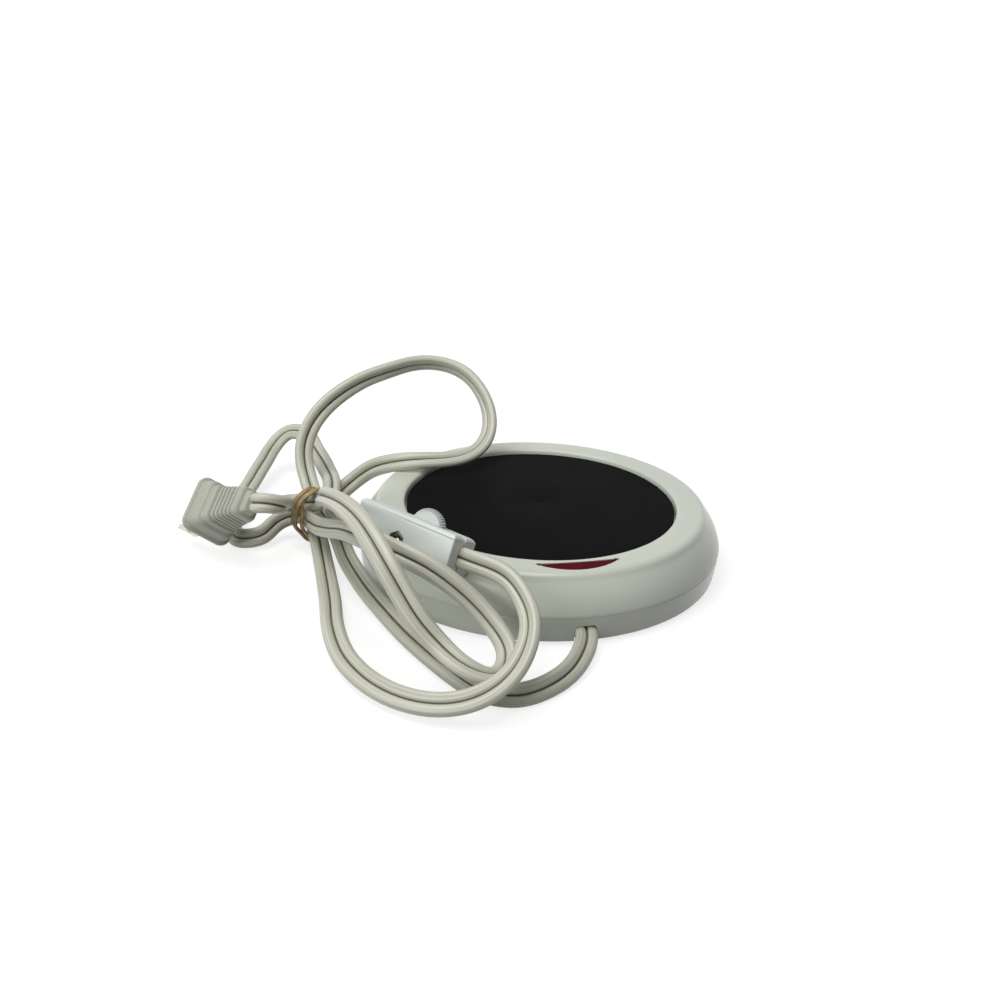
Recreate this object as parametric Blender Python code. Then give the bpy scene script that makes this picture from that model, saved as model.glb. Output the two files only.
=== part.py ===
"""Candle warmer plate with its tied mains lead, in metres, +Z up, front of the warmer at -Y.

The warmer stands on four rubber feet at z = 0 with its upright axis on x = y = 0.
Every named object in the parts collection is one closed solid. Cutters live in their own collection.
"""
import math

import bmesh
import bpy
import numpy as np
from mathutils import Matrix, Vector

for old in list(bpy.data.objects):
    bpy.data.objects.remove(old, do_unlink=True)

parts = bpy.data.collections.new("candle_warmer_plate")
bpy.context.scene.collection.children.link(parts)
cutters = bpy.data.collections.new("cutters")
bpy.context.scene.collection.children.link(cutters)
cutters.hide_render = True

# General clearances and facets
mm = 0.001
fit = 0.0003
overrun = 0.001
round_steps = 60
hidden_steps = 40
small_steps = 20
tiny_steps = 12

# Housing, outer form
foot_lift = 0.0012
crease_r = 0.0700
crease_z = 0.0107
skirt_draft = 0.0010
skirt_foot_r = crease_r - skirt_draft
side_run = 0.0071
side_bulge = 0.0009
side_rings = 4
rim_outer_r = crease_r - side_run
rim_top_z = 0.0240
rim_round = 0.0008
rim_width = 0.0106
lip_r = rim_outer_r - rim_width
lip_round = 0.0005
wall = 0.0022
well_r = lip_r - fit
ledge_width = 0.0030
ledge_r = well_r - ledge_width
ledge_drop = 0.0035
ledge_top_z = rim_top_z - ledge_drop
ledge_thick = 0.0018
inner_rim_r = well_r + wall
crease_soft = 0.0012

# Hot plate and the stack below it
plate_gap = fit
plate_r = well_r - plate_gap
plate_thick = 0.0016
plate_edge = 0.0003
dimple_r = 0.0012
dimple_deep = 0.0002
element_gap = fit
element_thick = 0.0010
element_inset = 0.0160
element_mean_r = ledge_r - element_inset
element_swing = 0.0050
element_waves = 16
element_width = 0.0030
mica_thick = 0.0004
mica_inset = 0.0025
mica_r = ledge_r - mica_inset
pad_inset = 0.0050
pad_r = ledge_r - pad_inset
pad_thick = 0.0036
pad_edge = 0.0010
shield_r = inner_rim_r - fit
shield_thick = 0.0008
bead_inset = 0.0240
bead_r = shield_r - bead_inset
bead_half = 0.0020
bead_deep = 0.0008

# Shield bosses and screws
shield_boss_r = 0.0019
shield_boss_sink = 0.0002
shield_boss_ring = ledge_r + shield_boss_r - shield_boss_sink
shield_screw_angles = (30, 150, 270)
shield_shank_r = 0.0009
shield_head_r = 0.0019
shield_head_h = 0.0012
shield_thread = 0.0024
shank_fit = 0.0003

# Housing bosses and screws
boss_r = 0.0034
boss_ring = inner_rim_r + boss_r - fit
boss_foot_z = 0.0063
screw_angles = (90, 210, 330)
screw_head_r = 0.0029
screw_head_h = 0.0021
screw_shank_r = 0.0014
screw_tip_z = 0.0120
screw_hole_tip_z = 0.0132
slot_half_w = 0.0004
slot_half_l = 0.0017
slot_deep = 0.0008

# Base cover, feet and posts
cover_bottom_z = 0.0009
cover_top_z = 0.0023
cover_gap = 0.0005
cover_r = skirt_foot_r - wall - cover_gap
cover_edge = 0.0003
cover_lip_inset = 0.0013
cover_lip_wall = 0.0014
lip_out_r = cover_r - cover_lip_inset
lip_in_r = lip_out_r - cover_lip_wall
lip_top_z = 0.0050
column_r = 0.0046
column_gap = fit
recess_r = 0.0033
recess_top_z = 0.0039
foot_r = 0.0050
foot_h = 0.0013
foot_edge = 0.0004
foot_inset = 0.0113
foot_ring = cover_r - foot_inset
foot_angles = (45, 135, 225, 315)
foot_pocket_top_z = 0.0016
vent_count = 10
vent_inset = 0.0283
vent_ring = cover_r - vent_inset
vent_half_l = 0.0060
vent_half_w = 0.0010

# Neon lamp, its posts and the lens
lens_half = 0.0149
lens_lip_margin = 0.0020
lens_rim_margin = 0.0024
lens_tip_y = lip_r + lens_lip_margin
lens_inner_sag = 0.00065
lens_outer_sag = rim_width - lens_lip_margin - lens_rim_margin
flange_half = 0.0166
flange_lap = 0.0002
flange_tip_y = lens_tip_y
flange_inner_sag = 0.0006
flange_outer_sag = lens_outer_sag + flange_lap
flange_thick = 0.0013
lens_sink = 0.0001
lens_steps = 12
lamp_r = 0.0025
lamp_len = 0.0140
lamp_in = 0.0050
lamp_y = lip_r + lamp_in
lamp_tip = 0.0012
post_x = 0.0062
post_half_x = 0.0012
post_half_y = 0.0020
post_top_z = 0.0139
resistor_r = 0.0011
resistor_len = 0.0070
resistor_waist_r = 0.0009
resistor_x = 0.0160
resistor_in = 0.0093
resistor_y = lamp_y - resistor_in

# Cord, its notch and clamp
cord_r = 0.0024
cord_sides = 2
cord_points = 68
curve_fine = 24
cord_centre_z = 0.0052
notch_half = 0.0036
notch_top_z = 0.0081
notch_in = 0.0010
notch_in_y = lip_out_r - notch_in
clamp_in = 0.0018
clamp_y = lip_in_r - clamp_in
clamp_post_x = 0.0064
clamp_post_r = 0.0026
clamp_bar_half_x = 0.0092
clamp_bar_half_y = 0.0021
clamp_bar_thick = 0.0020
clamp_bar_edge = 0.0004
clamp_shank_r = 0.0010
clamp_head_r = 0.0020
clamp_head_h = 0.0014
clamp_screw_tip_z = 0.0042
clamp_hole_tip_z = 0.0037

# Inner leads and terminals
lead_r = 0.0009
lead_start_x = 0.0012
lead_in = 0.0098
lead_points = 12
lead_shares = (0, 0.08, 0.3, 0.6, 0.85)
terminal_x = 0.0140
terminal_inset = 0.0150
terminal_y = ledge_r - terminal_inset
terminal_r = 0.0015
terminal_low_z = 0.0112
terminal_clear = 0.0004
crimp_r = 0.0021
crimp_len = 0.0040

# Thermal fuse and its strap
fuse_in = 0.0099
fuse_y = bead_r - fuse_in
fuse_r = 0.0016
fuse_len = 0.0090
fuse_tip = 0.0008
strap_thick = 0.0005
strap_half_x = 0.0015
strap_foot = 0.0024

# In-line switch, in its own frame: X along, Y through its thickness, Z across
switch_place = (-0.0548, -0.0416, 0.0293)
switch_yaw = math.radians(-46.5)
switch_lean = math.radians(-29.4)
switch_half_l = 0.0205
switch_end_half = 0.0064
switch_mid_half = 0.0084
switch_mid_flat = 0.0040
switch_mid_turn = 0.0070
switch_top_right = 0.0069
switch_top_left = 0.0090
switch_corner = 0.0010
switch_half_t = 0.0066
switch_part_gap = 0.00015
switch_wall = 0.0016
switch_edge = 0.0008
cord_bore_r = 0.0031
cord_bore_in = 0.0140
wheel_x = 0.0044
wheel_z = 0.0050
wheel_r = 0.0074
wheel_groove = 0.0004
wheel_teeth = 26
wheel_half_t = 0.0016
wheel_chamfer = 0.0004
axle_r = 0.0012
axle_half = 0.0042
socket_r = 0.0028
socket_face = 0.0021
slot_r = 0.0079
slot_half_y = 0.0021
nut_x = -0.0018
nut_z = -0.0015
nut_flat = 0.00275
nut_thick = 0.0018
nut_pocket_r = 0.0035
nut_boss_r = 0.0046
nut_boss_face = 0.0025
nut_pocket_deep = 0.0024
nut_sunk = 0.0003
nut_bore_r = 0.0016
switch_shank_r = 0.0012
switch_shank_end = 0.0060
head_pocket_r = 0.0027
head_pocket_deep = 0.0020
head_r = 0.0023
head_h = 0.0014
contact_len = 0.0070
contact_half_z = 0.0020
contact_thick = 0.0006
contact_left_x = -0.0140
contact_right_x = 0.0100
contact_right_len = 0.0060
contact_foot = 0.0016

# Plug, in its own frame: Z runs from the blades to the cord
plug_place = (-0.1224, 0.0194, 0.0168)
plug_axis = (0.541, -0.731, 0.417)
plug_side = (-0.392, -0.657, -0.644)
flange_half_x = 0.0110
flange_half_y = 0.0100
flange_corner = 0.0040
flange_half_z = 0.0025
shoulder_half_x = 0.0078
shoulder_half_y = 0.0072
shoulder_z = 0.0032
shoulder_end_z = 0.0085
grip_half_x = 0.0068
grip_half_y = 0.0058
grip_start_z = 0.0100
grip_end_z = 0.0255
grip_tip_half_x = 0.0058
grip_tip_half_y = 0.0046
rib_count = 5
rib_pitch = 0.0022
rib_deep = 0.0006
rib_start_z = 0.0110
plug_bore_r = 0.0029
plug_bore_z = 0.0198
plug_mouth_r = 0.0033
blade_x = 0.00635
blade_half_t = 0.00075
blade_half_wide = 0.0039
blade_half_narrow = 0.0032
blade_len = 0.0160
blade_root = 0.0010
blade_hole_r = 0.0015
blade_hole_z = 0.0118
blade_chamfer = 0.0009

# Rubber band: outline across the bundle (along, up) and its frame, wound in one unbroken tube
band_r = 0.0006
band_turns = 3
band_pitch = 0.0019
band_place = (-0.0840, 0.0230, 0.0)
band_normal = (0.6, -0.8, 0.0)
band_along = (0.8, 0.6, 0.0)
band_outline_mm = (
    (-10.3, 11.9), (-10.0, 9.5), (-8.7, 7.3), (-7.4, 5.2), (-6.1, 3.1), (-4.1, 1.5), (-1.7, 1.2),
    (0.7, 1.9), (3.0, 2.9), (5.3, 3.8), (7.6, 4.7), (9.9, 5.7), (12.1, 6.9), (13.4, 9.0),
    (13.6, 11.5), (12.6, 13.7), (10.6, 15.3), (8.5, 16.6), (6.4, 17.9), (4.3, 19.3), (2.2, 20.6),
    (0.0, 21.9), (-2.4, 22.5), (-4.8, 21.9), (-7.1, 20.9), (-8.8, 19.2), (-9.6, 16.9), (-9.9, 14.4),
)

# The cord's own route points in millimetres: warmer to switch, then switch to plug
route_warmer_mm = (
    (0.0, -60.5, 5.2), (-0.3, -71.4, 5.0), (-4.6, -81.3, 4.0), (-11.2, -90.0, 3.5), (-19.8, -96.7, 3.5),
    (-30.2, -99.8, 3.5), (-39.9, -95.4, 3.5), (-46.2, -86.5, 3.5), (-51.1, -76.7, 3.5), (-55.6, -66.7, 3.5),
    (-59.7, -56.6, 3.6), (-63.4, -46.3, 3.9), (-66.9, -35.9, 4.2), (-70.1, -25.5, 4.6), (-72.9, -14.9, 5.2),
    (-75.2, -4.3, 5.9), (-76.7, 6.5, 7.1), (-79.1, 17.0, 8.9), (-83.5, 26.7, 11.1), (-85.5, 37.3, 13.1),
    (-87.2, 47.2, 17.1), (-88.2, 53.5, 25.9), (-85.1, 58.1, 35.2), (-78.5, 63.1, 42.3), (-70.0, 67.3, 47.7),
    (-60.5, 70.7, 51.8), (-50.2, 73.4, 54.5), (-39.8, 76.4, 56.2), (-29.0, 76.4, 56.0), (-19.6, 71.7, 53.5),
    (-14.0, 63.6, 48.9), (-11.1, 55.5, 42.3), (-12.0, 47.5, 34.9), (-17.8, 40.1, 29.8), (-27.3, 35.1, 28.1),
    (-38.1, 33.9, 28.2), (-48.8, 35.5, 27.5), (-56.9, 41.8, 23.9), (-62.9, 49.1, 18.5), (-70.4, 52.3, 11.5),
    (-78.4, 47.5, 6.6), (-83.8, 38.1, 5.9), (-86.0, 27.5, 6.0), (-85.2, 16.6, 6.2), (-84.4, 5.7, 5.8),
    (-83.8, -5.2, 5.2), (-83.3, -16.1, 4.8), (-82.9, -27.0, 4.6), (-82.7, -38.0, 4.5), (-82.8, -48.9, 4.5),
    (-82.1, -59.8, 4.5), (-80.3, -70.6, 4.5), (-76.7, -80.9, 4.5), (-71.2, -90.4, 4.5), (-63.7, -98.3, 4.7),
    (-54.6, -104.2, 5.9), (-44.7, -107.3, 8.9), (-35.1, -106.1, 13.8), (-28.2, -99.4, 18.7),
    (-24.7, -90.1, 23.1),
    (-25.1, -79.7, 26.3), (-28.7, -69.7, 28.8), (-35.8, -61.5, 29.3), (-43.4, -53.6, 29.3),
)
route_plug_mm = (
    (-66.2, -29.6, 29.3), (-73.0, -22.4, 30.1), (-78.0, -13.8, 30.4), (-79.3, -4.1, 26.3), (-78.4, 4.3, 20.2),
    (-76.0, 12.1, 15.9), (-74.6, 20.5, 12.7), (-77.5, 29.8, 10.4), (-78.5, 39.5, 11.7), (-77.7, 49.0, 14.2),
    (-78.8, 58.9, 15.1), (-80.7, 68.7, 16.3), (-82.8, 78.4, 17.1), (-84.6, 88.1, 18.0), (-87.4, 97.5, 18.5),
    (-94.4, 103.1, 17.4), (-101.1, 99.4, 12.7), (-104.9, 90.1, 10.0), (-108.1, 80.7, 8.2),
    (-111.0, 71.2, 6.7),
    (-113.9, 61.7, 5.5), (-115.5, 51.9, 4.8), (-116.1, 42.0, 4.3), (-117.0, 32.4, 3.7), (-114.7, 22.4, 3.7),
    (-106.7, 21.1, 4.8), (-99.9, 28.4, 7.1), (-91.9, 28.1, 9.7), (-88.2, 19.2, 11.5), (-86.2, 9.9, 13.8),
    (-84.5, 0.7, 16.9), (-82.7, -8.4, 20.5), (-80.7, -17.5, 24.2), (-78.6, -26.5, 28.1), (-75.9, -35.5, 31.4),
    (-71.9, -44.5, 33.4), (-67.5, -53.4, 34.9), (-61.8, -61.5, 35.2), (-53.8, -66.7, 32.6),
    (-46.0, -70.6, 27.8),
    (-39.0, -74.8, 22.0), (-33.5, -80.8, 16.3), (-31.2, -89.1, 11.6), (-36.2, -96.9, 9.3),
    (-45.4, -95.8, 12.5),
    (-52.1, -89.1, 16.6), (-57.9, -84.3, 23.1), (-62.4, -78.8, 30.3), (-66.5, -72.7, 37.3),
    (-69.8, -64.3, 41.6),
    (-72.6, -54.9, 43.4), (-75.0, -45.3, 42.9), (-77.2, -35.9, 41.3), (-79.2, -26.6, 38.9),
    (-81.2, -17.5, 36.2),
    (-82.9, -8.3, 32.8), (-82.8, 1.5, 27.7), (-82.4, 11.1, 22.8), (-84.4, 20.1, 18.2), (-93.1, 22.8, 17.1),
    (-98.2, 18.9, 18.8), (-98.3, 12.6, 21.2), (-96.4, 6.7, 23.5), (-97.7, 0.9, 26.2), (-103.1, -1.6, 28.3),
    (-108.3, 0.4, 27.6), (-111.4, 4.5, 25.3),
)


def paint(name, rgb, rough, metal=0.0, coat=0.0):
    """Principled material of one sub-part."""
    mat = bpy.data.materials.new(name)
    mat.use_nodes = True
    node = mat.node_tree.nodes["Principled BSDF"]
    node.inputs["Base Color"].default_value = (*rgb, 1.0)
    node.inputs["Roughness"].default_value = rough
    node.inputs["Metallic"].default_value = metal
    node.inputs["Coat Weight"].default_value = coat
    mat.diffuse_color = (*rgb, 1.0)
    return mat


def add(name, bm, mat, parent=None, place=None, turn=None, home=parts):
    """Give a bmesh its object, outward faces and place."""
    bmesh.ops.remove_doubles(bm, verts=bm.verts, dist=overrun * mm)
    bmesh.ops.recalc_face_normals(bm, faces=bm.faces)
    mesh = bpy.data.meshes.new(name)
    bm.to_mesh(mesh)
    bm.free()
    if mat is not None:
        mesh.materials.append(mat)
    obj = bpy.data.objects.new(name, mesh)
    home.objects.link(obj)
    if parent is not None:
        obj.parent = parent
    if place is not None:
        obj.location = place
    if turn is not None:
        obj.rotation_euler = turn
    if home is cutters:
        obj.display_type = "WIRE"
        obj.hide_render = True
    return obj


def lathe_mesh(profile, steps, share=None):
    """Turn a closed (r, z) outline round Z. share scales the radius at each step."""
    bm = bmesh.new()
    rings = []
    for radius, z in profile:
        if radius == 0:
            rings.append([bm.verts.new((0, 0, z))])
            continue
        ring = []
        for i in range(steps):
            angle = math.tau * i / steps
            reach = radius * (share[i % len(share)] if share else 1)
            ring.append(bm.verts.new((reach * math.cos(angle), reach * math.sin(angle), z)))
        rings.append(ring)
    pairs = list(zip(rings, rings[1:] + rings[:1]))
    for low, high in pairs:
        if len(low) == 1 and len(high) == 1:
            continue
        for i in range(steps):
            j = (i + 1) % steps
            if len(low) == 1:
                bm.faces.new((low[0], high[i], high[j]))
            elif len(high) == 1:
                bm.faces.new((low[i], low[j], high[0]))
            else:
                bm.faces.new((low[i], low[j], high[j], high[i]))
    return bm


def loft_mesh(sections):
    """Skin a row of equal-count point loops and close both ends."""
    bm = bmesh.new()
    loops = [[bm.verts.new(p) for p in loop] for loop in sections]
    count = len(loops[0])
    for low, high in zip(loops, loops[1:]):
        for i in range(count):
            j = (i + 1) % count
            bm.faces.new((low[i], low[j], high[j], high[i]))
    bm.faces.new(loops[0])
    bm.faces.new(loops[-1])
    return bm


def rod_profile(radius, low, high, edge=0.0):
    """Outline of a plain rod or disc with small chamfers."""
    if edge == 0:
        return [(0, low), (radius, low), (radius, high), (0, high)]
    return [(0, low), (radius - edge, low), (radius, low + edge), (radius, high - edge),
        (radius - edge, high), (0, high)]


def post_profile(radius, hole_r, low, hole_top, high):
    """Outline of a post with a blind hole from below."""
    return [(hole_r, low), (radius, low), (radius, high), (0, high), (0, hole_top), (hole_r, hole_top)]


def box_mesh(half_x, half_y, low, high, edge=0.0):
    """A block standing on low, with its upright edges cut by edge."""
    if edge == 0:
        outline = [(half_x, -half_y), (half_x, half_y), (-half_x, half_y), (-half_x, -half_y)]
    else:
        outline = [(half_x, -half_y + edge), (half_x, half_y - edge), (half_x - edge, half_y),
            (-half_x + edge, half_y),
                   (-half_x, half_y - edge), (-half_x, -half_y + edge), (-half_x + edge, -half_y),
                   (half_x - edge, -half_y)]
    return loft_mesh([[(x, y, z) for x, y in outline] for z in (low, high)])


def inset(outline, distance):
    """Move each side of a closed counter-clockwise outline inwards by distance."""
    moved = []
    count = len(outline)
    for i in range(count):
        before, here, after = Vector(outline[i - 1]), Vector(outline[i]), Vector(outline[(i + 1) % count])
        a, b = (here - before).normalized(), (after - here).normalized()
        na, nb = Vector((-a.y, a.x)), Vector((-b.y, b.x))
        bend = na + nb
        moved.append(tuple(here + bend * (distance / (1 + na.dot(nb)))))
    return moved


def change(target, tool, how="DIFFERENCE"):
    """One exact Boolean with a tool that stays in the cutters collection."""
    mod = target.modifiers.new(tool.name, "BOOLEAN")
    mod.operation = how
    mod.solver = "EXACT"
    mod.object = tool


def polar(ring, degrees, z=0.0):
    angle = math.radians(degrees)
    return (ring * math.cos(angle), ring * math.sin(angle), z)


def smooth_route(points, count):
    """Even points on a centripetal curve through the route's own points, with straight first and last stretches."""
    pts = np.array(points, float)
    knots = np.concatenate(([0.0], np.cumsum(np.sqrt(np.linalg.norm(np.diff(pts, axis=0), axis=1)))))
    ends = np.vstack([pts[0] * 2 - pts[1], pts, pts[-1] * 2 - pts[-2]])
    t = np.concatenate(([knots[0] - knots[1]], knots, [knots[-1] * 2 - knots[-2]]))
    fine = []
    for i in range(1, len(ends) - 2):
        t0, t1, t2, t3 = t[i - 1:i + 3]
        for x in np.linspace(t1, t2, curve_fine, endpoint=False):
            a1 = (t1 - x) / (t1 - t0) * ends[i - 1] + (x - t0) / (t1 - t0) * ends[i]
            a2 = (t2 - x) / (t2 - t1) * ends[i] + (x - t1) / (t2 - t1) * ends[i + 1]
            a3 = (t3 - x) / (t3 - t2) * ends[i + 1] + (x - t2) / (t3 - t2) * ends[i + 2]
            b1 = (t2 - x) / (t2 - t0) * a1 + (x - t0) / (t2 - t0) * a2
            b2 = (t3 - x) / (t3 - t1) * a2 + (x - t1) / (t3 - t1) * a3
            fine.append((t2 - x) / (t2 - t1) * b1 + (x - t1) / (t2 - t1) * b2)
    fine.append(ends[-2])
    fine = np.array(fine)
    run = np.concatenate(([0.0], np.cumsum(np.linalg.norm(np.diff(fine, axis=0), axis=1))))
    at = np.concatenate(([0], np.linspace(run[curve_fine], run[-1 - curve_fine], count - 2), [run[-1]]))
    return np.stack([np.interp(at, run, fine[:, k]) for k in range(3)], -1), run[-1]


def tube(name, points, radius, mat, sides=cord_sides):
    """A closed tube along a POLY curve, turned into a mesh object."""
    curve = bpy.data.curves.new(name, "CURVE")
    curve.dimensions = "3D"
    curve.bevel_depth = radius
    curve.bevel_resolution = sides
    curve.use_fill_caps = True
    spline = curve.splines.new("POLY")
    spline.points.add(len(points) - 1)
    for point, place in zip(spline.points, points):
        point.co = (*place, 1)
    shape = bpy.data.objects.new(name + "_line", curve)
    cutters.objects.link(shape)
    shape.hide_render = True
    bpy.context.view_layer.update()
    mesh = bpy.data.meshes.new_from_object(shape.evaluated_get(bpy.context.evaluated_depsgraph_get()))
    bm = bmesh.new()
    bm.from_mesh(mesh)
    bpy.data.objects.remove(shape, do_unlink=True)
    return add(name, bm, mat)


def least_gap(first, second, radius_sum, skip=0):
    """Least distance between two point rows' skins. skip leaves out neighbours along one row."""
    def dense(row):
        row = np.array(row)
        return np.vstack([np.linspace(a, b, 6, endpoint=False) for a, b in zip(row, row[1:])] + [row[-1:]])
    one, two = dense(first), dense(second)
    gaps = np.linalg.norm(one[:, None] - two[None], axis=2)
    if skip:
        i, j = np.indices(gaps.shape)
        gaps[np.abs(i - j) < skip] = np.inf
    return gaps.min() - radius_sum


shell_white = paint("shell_white_gloss", (0.66, 0.70, 0.67), 0.22, coat=0.4)
cover_white = paint("cover_white_satin", (0.60, 0.63, 0.60), 0.45)
plate_black = paint("plate_black_satin", (0.012, 0.012, 0.012), 0.33)
lens_red = paint("lens_dark_red", (0.20, 0.008, 0.018), 0.15, coat=0.6)
glass = paint("lamp_glass", (0.80, 0.55, 0.40), 0.10)
steel = paint("zinc_steel", (0.55, 0.55, 0.56), 0.35, metal=1.0)
aluminium = paint("aluminium_sheet", (0.70, 0.70, 0.71), 0.40, metal=1.0)
nichrome = paint("nichrome_tape", (0.36, 0.33, 0.30), 0.45, metal=1.0)
mica = paint("mica_sheet", (0.52, 0.44, 0.30), 0.40)
fibre = paint("glass_fibre_pad", (0.72, 0.70, 0.62), 0.95)
brass = paint("brass", (0.62, 0.45, 0.16), 0.35, metal=1.0)
tinned = paint("tinned_copper", (0.62, 0.60, 0.57), 0.30, metal=1.0)
rubber_foot = paint("foot_rubber_grey", (0.20, 0.20, 0.20), 0.85)
cord_beige = paint("cord_vinyl_beige", (0.46, 0.45, 0.38), 0.42)
switch_pale = paint("switch_pale_plastic", (0.50, 0.57, 0.57), 0.32)
wheel_pale = paint("wheel_pale_plastic", (0.62, 0.66, 0.66), 0.40)
dark_metal = paint("darkened_steel", (0.10, 0.09, 0.08), 0.35, metal=1.0)
plug_grey = paint("plug_vinyl_grey", (0.32, 0.33, 0.28), 0.50)
band_tan = paint("rubber_band_tan", (0.33, 0.20, 0.08), 0.60)
lead_white = paint("lead_sleeve_white", (0.75, 0.74, 0.70), 0.60)
resistor_tan = paint("resistor_tan", (0.55, 0.42, 0.24), 0.50)

# Top housing: one turned shell with rim, well ledge, skirt, screw bosses, lens window and cord notch
rim_low_z = rim_top_z - rim_round * 3
side_slope = (crease_r - rim_outer_r) / (rim_top_z - crease_z)
rim_shoulder_r = rim_outer_r + side_slope * (rim_top_z - rim_low_z) - rim_round / 4
rim_under_z = rim_top_z - wall - rim_round / 4
side_line = []
for k in range(1, side_rings + 1):
    share = k / (side_rings + 1)
    side_line.append((crease_r - side_slope * (rim_low_z - crease_z) * share + side_bulge * 4 * share * (1 - share),
                      crease_z + (rim_low_z - crease_z) * share))
housing_profile = [
    (skirt_foot_r - wall, foot_lift),
    (skirt_foot_r - lip_round, foot_lift),
    (skirt_foot_r, foot_lift + lip_round),
    (crease_r, crease_z),
    *side_line,
    (rim_shoulder_r, rim_low_z),
    (rim_outer_r - rim_round / 3, rim_top_z - rim_round / 2),
    (rim_outer_r - rim_round * 2, rim_top_z),
    (lip_r + lip_round * 3, rim_top_z),
    (lip_r, rim_top_z - lip_round),
    (well_r, rim_top_z - lip_round * 3),
    (well_r, ledge_top_z),
    (ledge_r, ledge_top_z),
    (ledge_r, ledge_top_z - ledge_thick),
    (inner_rim_r - lip_round, ledge_top_z - ledge_thick),
    (inner_rim_r, rim_under_z),
    (rim_outer_r - wall * 3 / 4, rim_under_z),
    (rim_outer_r - wall / 2, rim_under_z - rim_round),
    (crease_r - wall, crease_z + crease_soft / 2),
    (crease_r - wall, crease_z - crease_soft / 2),
]
top_housing = add("top_housing", lathe_mesh(housing_profile, round_steps), shell_white)

for n, degrees in enumerate(screw_angles):
    boss = add(f"boss_{n}", lathe_mesh(post_profile(boss_r, screw_shank_r + shank_fit, boss_foot_z,
        screw_hole_tip_z, rim_under_z + wall / 2), small_steps), None,
               place=polar(boss_ring, degrees), home=cutters)
    change(top_housing, boss, "UNION")
ledge_low_z = ledge_top_z - ledge_thick
plate_low_z = ledge_top_z + plate_gap
element_top_z = plate_low_z - element_gap
element_low_z = element_top_z - element_thick
mica_top_z = element_low_z - fit
mica_low_z = mica_top_z - mica_thick
pad_top_z = mica_low_z - fit
pad_low_z = pad_top_z - pad_thick
shield_top_z = pad_low_z - fit
shield_low_z = shield_top_z - shield_thick
for n, degrees in enumerate(shield_screw_angles):
    boss = add(f"shield_boss_{n}", lathe_mesh(post_profile(shield_boss_r, shield_shank_r + shank_fit,
        shield_top_z + fit,
                                                            shield_top_z + shield_thread + shank_fit,
                                        ledge_low_z + ledge_thick / 2), tiny_steps), None,
                                        place=polar(shield_boss_ring, degrees), home=cutters)
    change(top_housing, boss, "UNION")

def crescent(half, tip_y, inner_sag, outer_sag):
    """Counter-clockwise crescent seen from above, tips at +-half, bulging to -Y."""
    def arc_y(x, sag):
        radius = (half * half + sag * sag) / (2 * sag)
        return tip_y + sag - radius + math.sqrt(radius * radius - x * x)
    outer = [(half * math.sin(math.pi / 2 * (2 * i / lens_steps - 1)), 0) for i in range(lens_steps + 1)]
    outer = [(x, -arc_y(x, outer_sag)) for x, _ in outer]
    inner = [(half * (1 - 2 * i / lens_steps), 0) for i in range(1, lens_steps)]
    inner = [(x, -arc_y(x, inner_sag)) for x, _ in inner]
    return outer + inner


window = crescent(lens_half, lens_tip_y, lens_inner_sag, lens_outer_sag)
window_cut = add("lens_window_cut", loft_mesh([[(x, y, z) for x,
    y in window] for z in (rim_under_z - overrun, rim_top_z + overrun)]),
                 None, home=cutters)
change(top_housing, window_cut)
notch_cut = add("cord_notch_cut", loft_mesh([[(x, y, z) for x,
    y in ((notch_half, -crease_r - overrun), (notch_half, -notch_in_y),
                                                                   (-notch_half, -notch_in_y),
                                        (-notch_half, -crease_r - overrun))]
                                            for z in (foot_lift - overrun, notch_top_z)]), None, home=cutters)
change(top_housing, notch_cut)

# Lens: crescent plug with retaining flange under the rim
lens_body = inset(window, fit)
lens_flange = crescent(flange_half, flange_tip_y, flange_inner_sag, flange_outer_sag)
flange_top_z = rim_under_z - fit
lens = add("indicator_lens", loft_mesh([
    [(x, y, flange_top_z - flange_thick) for x, y in lens_flange],
    [(x, y, flange_top_z) for x, y in lens_flange],
    [(x, y, flange_top_z) for x, y in lens_body],
    [(x, y, rim_top_z - lens_sink) for x, y in lens_body]]), lens_red)

# Hot plate and the heating stack
plate_top_z = plate_low_z + plate_thick
add("heating_plate", lathe_mesh([
    (0, plate_low_z), (plate_r - plate_edge, plate_low_z), (plate_r, plate_low_z + plate_edge),
    (plate_r, plate_top_z - plate_edge), (plate_r - plate_edge, plate_top_z),
    (dimple_r, plate_top_z), (dimple_r / 2, plate_top_z - dimple_deep), (0, plate_top_z - dimple_deep)],
    round_steps), plate_black)

sweep_start = math.atan2(-terminal_y, -terminal_x)
terminal_ring = math.hypot(terminal_x, terminal_y)
sweep = -(math.tau - 2 * math.atan2(terminal_x, terminal_y))
wave_steps = element_waves * 4
sections = []
for i in range(wave_steps + 1):
    angle = sweep_start + sweep * i / wave_steps
    middle = element_mean_r if 1 < i < wave_steps - 1 else terminal_ring
    radius = middle + element_swing * math.sin(math.tau * i / 4) * (1 if 1 < i < wave_steps - 1 else 0)
    side = Vector((-math.sin(angle), math.cos(angle))) * element_width / 4
    middle_point = Vector((radius * math.cos(angle), radius * math.sin(angle)))
    sections.append(middle_point)
ribbon = []
for i, point in enumerate(sections):
    before, after = sections[max(i - 1, 0)], sections[min(i + 1, len(sections) - 1)]
    along = (after - before).normalized()
    across = Vector((-along.y, along.x)) * element_width / 4
    ribbon.append([(*(point + across), element_low_z), (*(point - across), element_low_z),
                   (*(point - across), element_top_z), (*(point + across), element_top_z)])
add("heating_element", loft_mesh(ribbon), nichrome)
mica_disc = add("mica_disc", lathe_mesh(rod_profile(mica_r, mica_low_z, mica_top_z), hidden_steps), mica)
pad = add("insulation_pad", lathe_mesh(rod_profile(pad_r, pad_low_z, pad_top_z, pad_edge), hidden_steps),
    fibre)
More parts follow.
